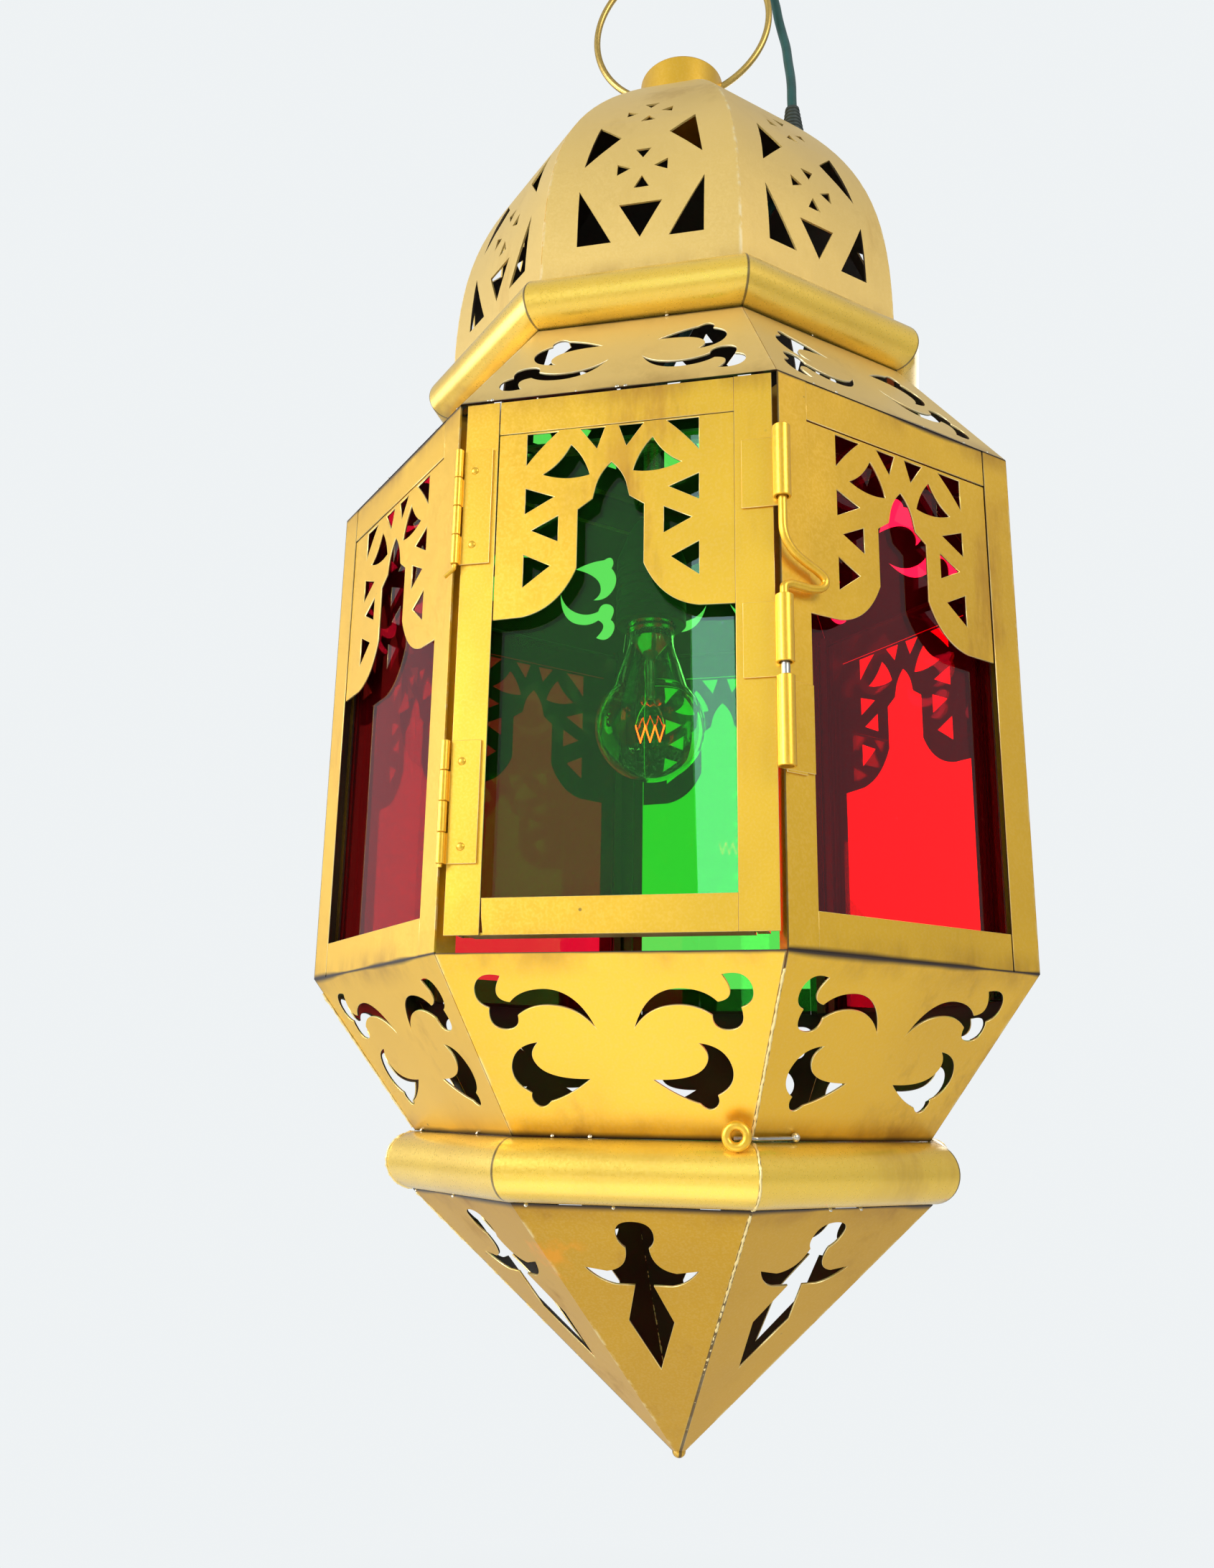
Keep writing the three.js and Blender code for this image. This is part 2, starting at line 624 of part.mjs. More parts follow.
// Fixed hinge half: leaf behind the next wall's edge, neck, knuckles and the pin
function postLeaf(bottom, top, tail) {
  const pin = atDoor(PIN_ACROSS, PIN_OUT);
  const behind = SHEET + GAP + 0.05;
  const hidden = turned(
    doorBlock([HALF_FACE - 6, HALF_FACE + 0.5], [-behind - LEAF, -behind], [bottom, top]), -1,
  );
  let post = hidden.add(cylinder(...pin, PIN_RADIUS, [bottom - 1.5, top], 8));
  for (let i = 0; i < KNUCKLES; i += 2) {
    const span = knuckleSpan(i, bottom, top);
    post = post.add(cylinder(...pin, KNUCKLE_RADIUS, span, 12));
    const neck = [PIN_ACROSS - LEAF / 2, PIN_ACROSS + LEAF / 2];
    post = post.add(doorBlock(neck, [-SHEET - 0.5, PIN_OUT], span));
  }
  if (!tail) return post;
  const end = [pin[0] - 4, pin[1] - 0.5, bottom - 6];
  return post.add(alongPath([[...pin, bottom], [...pin, bottom - 2], end], PIN_RADIUS, 3, 6));
}

// Rolled guide tube with its plate on the door's stile
function boltGuide(tube, plate) {
  const centre = atDoor(BOLT_ACROSS, BOLT_OUT);
  const flat = doorBlock(
    [GUIDE_PLATE_EDGE, BOLT_ACROSS - 1.2], [GAP, GAP + LEAF], plate,
  );
  return cylinder(...centre, TUBE_OUTER, tube, 16).add(flat)
    .subtract(cylinder(...centre, TUBE_BORE, [tube[0] - 5, tube[1] + 5], 14));
}

// Keeper on the next wall: plate, tube for the bolt's tip and a bent tab below
function keeper() {
  const centre = atDoor(BOLT_ACROSS, BOLT_OUT);
  const plate = turned(
    doorBlock([-HALF_FACE - 0.5, KEEPER_PLATE_EDGE], [GAP, GAP + LEAF], KEEPER), 1,
  );
  const tab = turned(doorBlock(
    [-HALF_FACE + 1, KEEPER_PLATE_EDGE - 4], [GAP, GAP + 4], [KEEPER[0] - 1, KEEPER[0] + LEAF],
  ), 1);
  return cylinder(...centre, TUBE_OUTER, KEEPER, 16).add(plate).add(tab)
    .subtract(cylinder(...centre, TUBE_BORE, [KEEPER[0] - 5, KEEPER[1] + 5], 14));
}

// One wire: tip, shank, handle bent along the next wall, and the upper shank
function bolt() {
  const [x, y] = atDoor(BOLT_ACROSS, BOLT_OUT);
  const along = Math.SQRT1_2;
  const [foot, guide] = LOWER_GUIDE;
  const bends = [
    [0, BOLT_TIP], [0, foot + 5.5], [0, (foot + guide) / 2], [0, guide - 4],
    ...HANDLE.map(([u, rise]) => [u, guide + rise]),
    [0, UPPER_GUIDE[0] + 4], [0, BOLT_TOP],
  ];
  const points = bends.map(([u, z]) => [x + u * along, y + u * along, z]);
  return alongPath(points, BOLT_WIRE, 30);
}

// Wire eye in the groove above the lower roll, with its pin and round end
function seamEye() {
  const height = FRUSTUM_END + EYE_RISE;
  const inset = apothem(NECK_CORNER);
  const front = -inset - EYE_OUT;
  const seat = -inset - PIN_SEAT;
  const eye = new THREE.TorusGeometry(EYE_RADIUS, EYE_WIRE, 6, 12).rotateX(Math.PI / 2);
  eye.translate(EYE_ACROSS, front, height + 1);
  const back = -inset - 2.2;
  const stem = solid(new THREE.CylinderGeometry(1.3, 1.3, back - front, 8)
    .translate(EYE_ACROSS + EYE_RADIUS - 0.1, (back + front) / 2, height));
  const corner = -seat * Math.tan(HALF_SIDE);
  const run = PIN_RUN * Math.SQRT1_2;
  const pin = alongPath([
    [EYE_ACROSS - 2, seat, height], [corner - 2, seat, height],
    [corner + 0.8, seat + 0.4, height], [corner + 3, seat + 2.2, height],
    [corner + run, seat - 0.4 + run, height + 0.3],
  ], 0.9, 8, 5);
  const ball = solid(new THREE.SphereGeometry(EYE_WIRE, 8, 5).translate(
    corner + run, seat - 1 + run, height + 0.6,
  ));
  return joined(solid(eye), stem, pin, ball);
}

// Strap across the upper roll with the threaded nipple and its nuts
function holderBracket() {
  const bottom = SKIRT_END + GAP / 2 + SHEET + GAP;
  const top = bottom + STRAP;
  const end = apothem(NECK_CORNER) - 1.5;
  const foot = HOLDER_TOP - NIPPLE_DEPTH + GAP;
  return block([-end, end], [-STRAP_HALF, STRAP_HALF], [bottom, top])
    .add(cylinder(LAMP_ACROSS, 0, NIPPLE_RADIUS, [foot, NIPPLE_TOP], 14))
    .add(cylinder(LAMP_ACROSS, 0, NUT_RADIUS, [bottom - NUT, top + NUT], 6))
    .subtract(cylinder(LAMP_ACROSS, 0, CORD_RADIUS + GAP, [foot - 1, NIPPLE_TOP + 1], 12));
}

function lampholder() {
  const bore = CAP_RADIUS + GAP;
  return lathe([
    [bore, HOLDER_BOTTOM], [HOLDER_RADIUS, HOLDER_BOTTOM], [HOLDER_RADIUS, HOLDER_SHOULDER],
    [HOLDER_NECK_RADIUS, HOLDER_NECK], [NIPPLE_RADIUS + 4, HOLDER_TOP],
    [NIPPLE_RADIUS + GAP, HOLDER_TOP], [NIPPLE_RADIUS + GAP, HOLDER_TOP - NIPPLE_DEPTH],
    [CORD_RADIUS + GAP, HOLDER_TOP - NIPPLE_DEPTH], [CORD_RADIUS + GAP, CAP_TOP + GAP],
    [bore, CAP_TOP + GAP],
  ], 16);
}

function bulbGlass() {
  const skin = (inset) => {
    const points = [];
    for (let i = 0; i <= 6; i += 1) {
      const angle = -Math.PI / 2 + 0.05 + (i / 6) * (Math.PI * 0.74);
      const radius = BULB_RADIUS - inset;
      points.push([radius * Math.cos(angle), BULB_HEIGHT + radius * Math.sin(angle)]);
    }
    points.push([15.4 - inset, 180], [BULB_NECK + 0.4 - inset, 188]);
    points.push([BULB_NECK - inset, CAP_BOTTOM - GAP]);
    return points;
  };
  const bottom = BULB_HEIGHT - BULB_RADIUS;
  return lathe([...skin(0), ...skin(BULB_WALL).reverse()], 12)
    .add(cylinder(0, 0, 3, [bottom, bottom + BULB_WALL], 12));
}

function bulbCap() {
  return cylinder(0, 0, CAP_RADIUS, [CAP_BOTTOM, CAP_TOP - 4], 16)
    .add(cylinder(0, 0, CAP_RADIUS, [CAP_TOP - 4, CAP_TOP - 1.5], 16, 6))
    .add(cylinder(0, 0, 4, [CAP_TOP - 3, CAP_TOP], 12))
    .subtract(cylinder(0, 0, CAP_RADIUS - SHEET, [CAP_BOTTOM - 1, CAP_TOP - 5], 16));
}

// Glass stem with two lead wires that carry the filament across the globe
function filament() {
  const span = FILAMENT_SPAN;
  const flare = BULB_NECK - BULB_WALL - GAP;
  const stem = cylinder(0, 0, STEM_RADIUS, [STEM_HEAD, STEM_FOOT], 10)
    .add(cylinder(0, 0, STEM_RADIUS + 1.6, [STEM_FOOT - 4, STEM_FOOT + 6], 12, flare));
  const lead = (side) => alongPath([
    [side * STEM_RADIUS / 2, 0, STEM_HEAD + 6], [side * 2, 0, STEM_HEAD - 1],
    [side * 7, 0, BULB_HEIGHT + 8], [side * span, 0, BULB_HEIGHT + 1],
  ], 0.5, 5, 5);
  const wire = alongPath([
    [-span, 0, BULB_HEIGHT + 1.2], [-span / 2, 0, BULB_HEIGHT - 1.4], [0, 0, BULB_HEIGHT + 0.8],
    [span / 2, 0, BULB_HEIGHT - 1.4], [span, 0, BULB_HEIGHT + 1.2],
  ], FILAMENT_WIRE, 8, 5);
  return joined(stem, lead(-1), lead(1), wire);
}

// Rubber strain relief on the dome side that faces +X: flange on the sheet, boot up the flex
function cordGland() {
  const frame = new THREE.Matrix4().makeRotationZ(4 * HALF_SIDE).multiply(domeFrame(GLAND_ARC));
  const centre = new THREE.Vector3(GLAND_SIDEWAYS, 0, 0);
  const depth = GLAND_FLANGE_DEPTH;
  const disc = new THREE.CylinderGeometry(GLAND_FLANGE - depth / 2, GLAND_FLANGE, depth, 16)
    .rotateX(Math.PI / 2).translate(centre.x, 0, depth / 2 + GAP).applyMatrix4(frame);
  const above = new THREE.BoxGeometry(80, 80, 80).translate(centre.x, 0, 40 + GAP);
  const [x, y] = GLAND_EXIT;
  const boot = cylinder(x, y, BOOT_RADIUS, [BOOT_FOOT, BOOT_SHOULDER], 12);
  const tip = cylinder(x, y, BOOT_RADIUS, [BOOT_SHOULDER - 1, BOOT_TOP], 12, BOOT_TIP_RADIUS);
  return boot.add(tip).intersect(solid(above.applyMatrix4(frame))).add(solid(disc))
    .subtract(cordSolid(CORD_RADIUS + GAP));
}

function build() {
  const wall = fixedWall();
  const fixedPane = pane(GAP / 2, CHANNEL_OUTER);
  const skirt = slopePanel(BODY_TOP, BODY_CORNER, SKIRT_END, NECK_CORNER,
    bothSides([COMMA, moved(SCROLL, 0, -6)]));
  const frustum = slopePanel(0, BODY_CORNER, FRUSTUM_END, NECK_CORNER,
    bothSides([COMMA, SCROLL]));
  place('door_frame', door(), GOLD);
  place('door_pane', pane(DOOR_BOTTOM, CHANNEL_OUTER - SHEET), GREEN_GLASS);
  for (let side = 0; side < SIDES; side += 1) {
    if (side > 0) {
      place(`wall_frame_${side}`, wall, GOLD, side);
      place(`wall_pane_${side}`, fixedPane, side % 2 ? RED_GLASS : GREEN_GLASS, side);
    }
    place(`skirt_panel_${side}`, skirt, PALE_GOLD, side);
    place(`frustum_panel_${side}`, frustum, GOLD, side);
  }
  const pair = domePair();
  const withCordHole = turned(pair, 2).subtract(cordSolid(CORD_RADIUS + 2 * GAP));
  place('dome_shell_0', pair, PALE_GOLD, 0);
  place('dome_shell_2', withCordHole, PALE_GOLD, 0);
  place('dome_shell_4', pair, PALE_GOLD, 4);
  place('dome_shell_6', pair, PALE_GOLD, 6);
  place('upper_roll', roll(SKIRT_END, DOME_START), GOLD);
  place('lower_roll', roll(LOWER_ROLL_END, FRUSTUM_END), GOLD);
  place('bottom_cone', cone(), GOLD);
  place('knob_cap', knob(), GOLD);
  place('hanging_ring', ringWire(RING_WIRE), GOLD);
  place('ceiling_hook', hook(), STEEL);
  place('ceiling_rose', rose(), DARK_PLASTIC);
  for (const [name, bottom, top] of HINGES) {
    place(`${name}_hinge_leaf`, doorLeaf(bottom, top), GOLD);
    place(`${name}_hinge_post`, postLeaf(bottom, top, name === 'upper'), GOLD);
  }
  place('upper_bolt_guide', boltGuide(UPPER_GUIDE, UPPER_PLATE), GOLD);
  place('lower_bolt_guide', boltGuide(LOWER_GUIDE, LOWER_PLATE), GOLD);
  place('bolt_keeper', keeper(), GOLD);
  place('latch_bolt', bolt(), GOLD);
  place('seam_eye', seamEye(), GOLD);
  place('holder_bracket', holderBracket(), STEEL);
  place('lampholder', lampholder(), DARK_PLASTIC, 0, LAMP_ACROSS);
  place('bulb_cap', bulbCap(), STEEL, 0, LAMP_ACROSS);
  place('bulb_glass', bulbGlass(), CLEAR_GLASS, 0, LAMP_ACROSS);
  place('bulb_filament', filament(), FILAMENT, 0, LAMP_ACROSS);
  place('mains_cord', cordSolid(CORD_RADIUS), CORD_GREEN);
  place('cord_gland', cordGland(), DARK_PLASTIC);
}

build();

export default object;
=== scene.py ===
import random
from math import ceil, cos, hypot, pi, radians, sin, sqrt, tan

import bmesh
import bpy
from mathutils import Matrix, Vector

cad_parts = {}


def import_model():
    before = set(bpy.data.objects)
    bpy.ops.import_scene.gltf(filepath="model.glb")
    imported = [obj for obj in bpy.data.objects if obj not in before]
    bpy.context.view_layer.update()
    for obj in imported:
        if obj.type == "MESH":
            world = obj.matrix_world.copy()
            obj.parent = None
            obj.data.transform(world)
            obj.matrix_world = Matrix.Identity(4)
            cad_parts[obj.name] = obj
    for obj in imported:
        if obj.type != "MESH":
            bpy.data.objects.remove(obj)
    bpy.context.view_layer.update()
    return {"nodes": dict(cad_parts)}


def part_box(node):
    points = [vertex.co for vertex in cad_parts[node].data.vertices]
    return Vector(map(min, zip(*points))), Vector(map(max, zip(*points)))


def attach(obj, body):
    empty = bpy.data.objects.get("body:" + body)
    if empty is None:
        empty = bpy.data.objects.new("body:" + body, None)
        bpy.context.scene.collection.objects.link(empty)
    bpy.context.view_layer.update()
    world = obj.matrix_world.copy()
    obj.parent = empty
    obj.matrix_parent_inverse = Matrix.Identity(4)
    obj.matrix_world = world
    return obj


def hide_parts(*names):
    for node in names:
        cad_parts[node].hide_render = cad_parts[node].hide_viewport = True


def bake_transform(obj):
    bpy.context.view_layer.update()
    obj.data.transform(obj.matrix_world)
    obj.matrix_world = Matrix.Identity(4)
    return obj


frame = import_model()

# Eight-sided pierced lantern on a ring: Z up, ceiling face at Z = 0, door facing -Y. Its shapes are
# written in millimetres with heights from the body's bottom edge, and made metres as they are built.
MM = 0.001
GAP = 0.3
SOLDERED = 0.02
HAIRLINE = 0.003
SHEET = 1
RIM = 0.14
SPARE = 3
SIDES = 8
HALF_SIDE = pi / SIDES
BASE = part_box("wall_frame_4")[0].z - GAP / 2 * MM

BODY_CORNER = 184
BODY_TOP = 245
NECK_CORNER = 131
FRUSTUM_END = -71.15
LOWER_ROLL_END = -97.7
CONE_TIP = -218.2
SKIRT_END = 312
DOME_START = 338
DOME_CURVE = [(131, 0), (131, 82.8), (117.5, 121.5), (21, 203.9)]
DOME_SAMPLES = 400
DOME_ROWS = 26
ROLL_BULGE = 13
ROLL_LIP = 5
ROLL_LONG_EDGE = 20
ROLL_CUTS = 11
KNOB_RADIUS = 25.2
KNOB_FOOT = 526
KNOB_TOP = 556.5
RING_RADIUS = 54.7
RING_HEIGHT = 600.5
RING_WIRE = 2
HOOK_WIRE = 2.5
HOOK_BEND = 9
CEILING = 712
ROSE_RADIUS = 35
ROSE_DEPTH = 22

WINDOW_HALF = 54.5
DOOR_WINDOW_HALF = 52
DOOR_ARCH_SHIFT = (-1, 2)
ARCH_FOOT = 139
ARCH_STEP_BACK = 0.6
RAIL_STEP_BACK = 0.3
CHANNEL_OUTER = 64
CHANNEL_REACH = 5
GLASS_SETBACK = 8
GLASS = 3

PIN_ACROSS = -69
PIN_OUT = 2.2
PIN_RADIUS = 0.9
KNUCKLE_RADIUS = 1.9
KNUCKLES = 4
LEAF = 0.8
LEAF_EDGE = -54
HINGES = {"upper": (167, 221), "lower": (36, 88)}
RIVETS = [(-62, 211), (-62, 176), (-62, 79), (-61, 43)]

BOLT_ACROSS = 72.1
BOLT_OUT = 4
BOLT_WIRE = 1.8
BOLT_PAINTED_FROM = 116
TUBE_OUTER = 3.7
TUBE_BORE = 2.7
GUIDES = {"upper": ((184, 216), (182, 213)), "lower": ((112.5, 141), (108, 140))}
GUIDE_PLATE_EDGE = 55
KEEPER = (70, 107)
KEEPER_PLATE_EDGE = -55

LAMP = (-16.5, 0)
BULB_HEIGHT = 141.7
BULB_RADIUS = 30
BULB_NECK = 12.6
BULB_WALL = 0.9
CAP_BOTTOM = 194.7
CAP_TOP = 218.7
CAP_RADIUS = 13.2
HOLDER_BOTTOM = 200
HOLDER_TOP = 262
HOLDER_RADIUS = 19.5
NIPPLE_RADIUS = 5
NIPPLE_TOP = 326
NUT_RADIUS = 8
NUT_HEIGHT = 3.5
STRAP = 2
CORD_RADIUS = 2.8
CORD_BORE = CORD_RADIUS + GAP
GLAND_ARC = 164
GLAND_SIDEWAYS = -12
GLAND_EXIT = (68.5, -12)

# The flex, from the ceiling rose down to the lamp holder's nipple
CORD_ROUTE = [
    (22.5, 7, 702), (23, 7, 694), (25.5, 8, 683), (32, 9.5, 671), (41, 10.5, 657),
    (50, 10.5, 640), (57.1, 10, 620.2), (59.9, 9, 603.2), (62.3, 7, 589.6), (64.5, 4, 576.8),
    (65.9, 0, 561.6), (67.3, -4, 548.1), (68.1, -8, 536), (68.3, -11, 525), (68.5, -12, 514),
    (68.5, -12, 500), (68, -12, 488), (65.5, -12, 474), (57, -11, 456), (44, -9, 438),
    (28, -7, 416), (10, -5, 391), (-4, -2, 367), (-13, -0.5, 347), (-16.3, 0, 332),
    (-16.5, 0, 324), (-16.5, 0, 315),
]

# Camera of the photograph, found from the corners of the body
PHOTO_HEIGHT = 2184
FOCAL_PIXELS = 1776.67
EYE = Vector((0.11285, -0.65288, BASE - 0.05881))
YAW = radians(13.199)
PITCH = radians(14.232)
ROLL = radians(0.947)


def linked(name, data):
    obj = bpy.data.objects.new(name, data)
    bpy.context.collection.objects.link(obj)
    return obj


def make_camera():
    forward = Vector((-sin(YAW) * cos(PITCH), cos(YAW) * cos(PITCH), sin(PITCH)))
    level_right = Vector((cos(YAW), sin(YAW), 0))
    level_up = level_right.cross(forward)
    right = cos(ROLL) * level_right + sin(ROLL) * level_up
    up = right.cross(forward)
    data = bpy.data.cameras.new("camera")
    data.lens = data.sensor_width * FOCAL_PIXELS / PHOTO_HEIGHT
    camera = linked("camera", data)
    turn = Matrix((right, up, -forward)).transposed()
    camera.matrix_world = Matrix.Translation(EYE) @ turn.to_4x4()
    bpy.context.scene.camera = camera


# Small helpers for points and meshes

def world(point):
    """Metres in the scene for millimetres across, back and up from the body's bottom edge."""
    x, y, z = point
    return Vector((x * MM, y * MM, BASE + z * MM))


def apothem(corner_radius):
    return corner_radius * cos(HALF_SIDE)


def side_turn(side):
    return Matrix.Rotation(2 * HALF_SIDE * side, 4, "Z")


def arc(start, end, count, centre, width, height=None):
    """Points of an ellipse between two angles in degrees, given its half width and half height."""
    angles = [radians(start + (end - start) * i / count) for i in range(count + 1)]
    tall = height or width
    return [(centre[0] + width * cos(a), centre[1] + tall * sin(a)) for a in angles]


def smooth_shaded(mesh, sharp):
    """Smooth shading, with the edges over an angle in degrees kept sharp."""
    mesh.polygons.foreach_set("use_smooth", [True] * len(mesh.polygons))
    mesh.set_sharp_from_angle(angle=radians(sharp))


def shown(mesh, name, node, material, sharp=None, body="lantern"):
    """Makes a mesh a piece of the lantern that rides on a body and stands for a CAD node."""
    mesh.materials.clear()
    mesh.materials.append(material)
    if sharp:
        smooth_shaded(mesh, sharp)
    obj = linked(name, mesh)
    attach(obj, body)
    if node:
        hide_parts(node)


def evaluated_mesh(obj):
    """The plain mesh of an object with its modifiers or its curve's tube; the object goes."""
    graph = bpy.context.evaluated_depsgraph_get()
    mesh = bpy.data.meshes.new_from_object(obj.evaluated_get(graph))
    bpy.data.objects.remove(obj)
    return mesh


def opened(*meshes):
    """The given meshes together, ready to edit."""
    bm = bmesh.new()
    for mesh in meshes:
        bm.from_mesh(mesh)
    return bm


def closed(bm):
    mesh = bpy.data.meshes.new("part")
    bm.to_mesh(mesh)
    bm.free()
    return mesh


def merged(*meshes):
    return closed(opened(*meshes))


def placed(mesh, matrix):
    copy = mesh.copy()
    copy.transform(matrix)
    return copy


def outward(bm, merge=1e-6):
    """The finished mesh, with its doubles merged and its faces pointing out."""
    bmesh.ops.remove_doubles(bm, verts=bm.verts, dist=merge)
    bmesh.ops.recalc_face_normals(bm, faces=bm.faces)
    return closed(bm)


def sliced(bm, point, normal, dist=1e-7, **options):
    everything = [*bm.verts, *bm.edges, *bm.faces]
    return bmesh.ops.bisect_plane(bm, geom=everything, dist=dist, plane_co=point,
                                  plane_no=normal, **options)


def in_pairs(items):
    """Each item with the next, all round the loop."""
    return zip(items, [*items[1:], items[0]])


def skin(bm, ring_pairs):
    for first, second in ring_pairs:
        for (a, b), (c, d) in zip(in_pairs(first), in_pairs(second)):
            bm.faces.new((a, b, d, c))


def lathe(profile, segments=64, centre=(0, 0), start=0.0, base=BASE):
    """Closed turned shape; the profile is a closed loop of radius and height."""
    bm = bmesh.new()
    rings = []
    for i in range(segments):
        angle = start + 2 * pi * i / segments
        rings.append([bm.verts.new((
            (centre[0] + r * sin(angle)) * MM, (centre[1] + r * cos(angle)) * MM, base + z * MM,
        )) for r, z in profile])
    skin(bm, in_pairs(rings))
    bmesh.ops.remove_doubles(bm, verts=bm.verts, dist=1e-6)
    bmesh.ops.recalc_face_normals(bm, faces=bm.faces)
    degenerate = [f for f in bm.faces if f.calc_area() < 1e-14]
    bmesh.ops.delete(bm, geom=degenerate, context="FACES")
    return closed(bm)


def add_line(curve, points, cyclic):
    spline = curve.splines.new("POLY")
    spline.points.add(len(points) - 1)
    for target, point in zip(spline.points, points):
        target.co = (*point, 1)
    spline.use_cyclic_u = cyclic


def wire_along(route, radius, cyclic=False, resolution=5):
    """Round wire along points in metres."""
    curve = bpy.data.curves.new("tube", "CURVE")
    curve.dimensions = "3D"
    curve.bevel_depth = radius * MM
    curve.bevel_resolution = resolution
    curve.use_fill_caps = not cyclic
    add_line(curve, route, cyclic)
    return outward(opened(evaluated_mesh(linked("tube", curve))))


def tube(points, radius, step=None, **options):
    """Round wire along points, straight between them or smooth with a step's length."""
    route = smooth_route(points, step) if step else [world(p) for p in points]
    return wire_along(route, radius, **options)


def smooth_route(points, step):
    """Points in metres, close together on the smooth curve through the given ones."""
    route = [world(p) for p in points]
    ends = [2 * route[0] - route[1], *route, 2 * route[-1] - route[-2]]
    fine = []
    for i in range(len(route) - 1):
        a, b, c, d = ends[i:i + 4]
        count = max(1, ceil((c - b).length / (step * MM)))
        for j in range(count):
            t = j / count
            fine.append(0.5 * (
                2 * b + (c - a) * t + (2 * a - 5 * b + 4 * c - d) * t ** 2
                + (3 * b - a - 3 * c + d) * t ** 3
            ))
    return [*fine, route[-1]]


# Outlines: straight (x, y) pieces and curved (cx, cy, x, y) ones

def trace(pieces, step=1.5):
    points = []
    for piece in pieces:
        end = Vector(piece[-2:])
        if len(piece) == 2:
            points.append(end)
            continue
        start, middle = points[-1], Vector(piece[:2])
        count = max(2, ceil(((middle - start).length + (end - middle).length) / step))
        for i in range(1, count + 1):
            t = i / count
            points.append((1 - t) ** 2 * start + 2 * t * (1 - t) * middle + t * t * end)
    if (points[0] - points[-1]).length < 1e-6:
        points.pop()
    return points


def mirrored(points):
    return [Vector((-x, y)) for x, y in reversed(points)]


def both_sides(*outlines):
    return [shape for outline in outlines for shape in (outline, mirrored(outline))]


def moved(points, shift):
    return [point + Vector(shift) for point in points]


def rectangle(left, bottom, right, top):
    return [(left, bottom), (right, bottom), (right, top), (left, top)]


COMMA = trace([
    (-8, 34), (-14, 17, -27, 16.5), (-37, 16.5, -42, 22.5), (-51, 21, -44.5, 10.5),
    (-54, 8, -56, 16), (-57, 23, -51, 25), (-53, 34.5, -45.5, 35), (-39, 35, -39.5, 28.5),
    (-33, 23, -24, 24), (-14, 25, -8, 34),
])
SCROLL = trace([
    (-13, 58), (-22, 66, -31, 69), (-34.5, 73.5, -37.5, 70.5), (-39.5, 68, -38.5, 65),
    (-46, 61, -45.5, 53), (-44, 42.5, -33, 41), (-38, 46, -35, 51), (-31, 58.5, -13, 58),
])
DAGGER_HALF = trace([
    (0, 9), (-8, 9, -8, 17), (-8, 22, -5, 25), (-5, 38, -15, 40), (-24.5, 38),
    (-19, 47, -12, 48.5), (-4, 48.5), (-10, 72), (0, 105),
])
DAGGER = [*DAGGER_HALF, *mirrored(DAGGER_HALF)[1:-1]]
ARCH_EDGE = trace([
    (-38, 139.5), (-22, 142, -14.5, 160), (-14.5, 187), (-8, 191.5), (-7, 196),
    (-5.5, 203, 0, 208),
])
ARCH_CUTS = both_sides(*map(trace, [
    [(-38, 225), (-24, 225), (-31.5, 218.5, -38, 210)],
    [(-14, 225), (-3, 225), (-6.5, 215)],
    [(-18, 218), (-22.5, 209, -30.5, 205), (-20, 200.5, -9.5, 203), (-12, 212, -18, 218)],
    [(-38, 199), (-25, 194), (-38, 187)],
    [(-23, 185), (-35, 179), (-23, 173)],
    [(-38, 168), (-26, 162), (-38, 153)],
]))
DOME_CUTS = [
    *both_sides(
        [(-32, 53.5), (-32, 19), (-14.5, 19)],
        [(-13, 69), (-6, 65), (-13, 61)],
        [(-25, 105.5), (-12.5, 91.5), (-30.5, 70.5)],
        [(-12, 122), (-6, 118), (-12, 115)],
    ),
    [(-11, 41), (11, 41), (0, 20)],
    [(-4, 51), (4, 51), (0, 59)],
    [(-4, 79), (4, 79), (0, 72)],
    [(-4, 107), (4, 107), (0, 113)],
    [(-4, 131), (4, 131), (0, 124)],
]


# Sheet and sections

def flat_curve(outlines, thickness, rim):
    """Filled flat curve with holes, its edges softened by the rim."""
    curve = bpy.data.curves.new("sheet", "CURVE")
    curve.dimensions = "2D"
    curve.fill_mode = "BOTH"
    curve.extrude = (thickness / 2 - rim) * MM
    curve.bevel_depth = rim * MM
    curve.bevel_resolution = 0
    curve.offset = -rim * MM
    for outline in outlines:
        add_line(curve, [(x * MM, y * MM, 0) for x, y in outline], True)
    return evaluated_mesh(linked("sheet", curve))


def plate(outline, holes=(), front=0.0, thickness=SHEET, rim=RIM):
    """Flat sheet in panel axes: x across, y up, z out of its face."""
    bm = opened(flat_curve([outline, *holes], thickness, rim))
    bm = opened(outward(bm, 1e-7))
    bmesh.ops.translate(bm, verts=bm.verts, vec=(0, 0, (front - thickness / 2) * MM))
    edge = bm.faces.layers.float.new("cut_edge")
    for face in bm.faces:
        face[edge] = float(abs(face.normal.z) < 0.9)
    return closed(bm)


def prism(outline, low, high):
    """Straight length of a section drawn in x and y, from low to high along z."""
    bm = bmesh.new()
    face = bm.faces.new([bm.verts.new((x * MM, y * MM, low * MM)) for x, y in outline])
    added = bmesh.ops.extrude_face_region(bm, geom=[face])["geom"]
    top = [v for v in added if isinstance(v, bmesh.types.BMVert)]
    bmesh.ops.translate(bm, verts=top, vec=(0, 0, (high - low) * MM))
    return outward(bm)


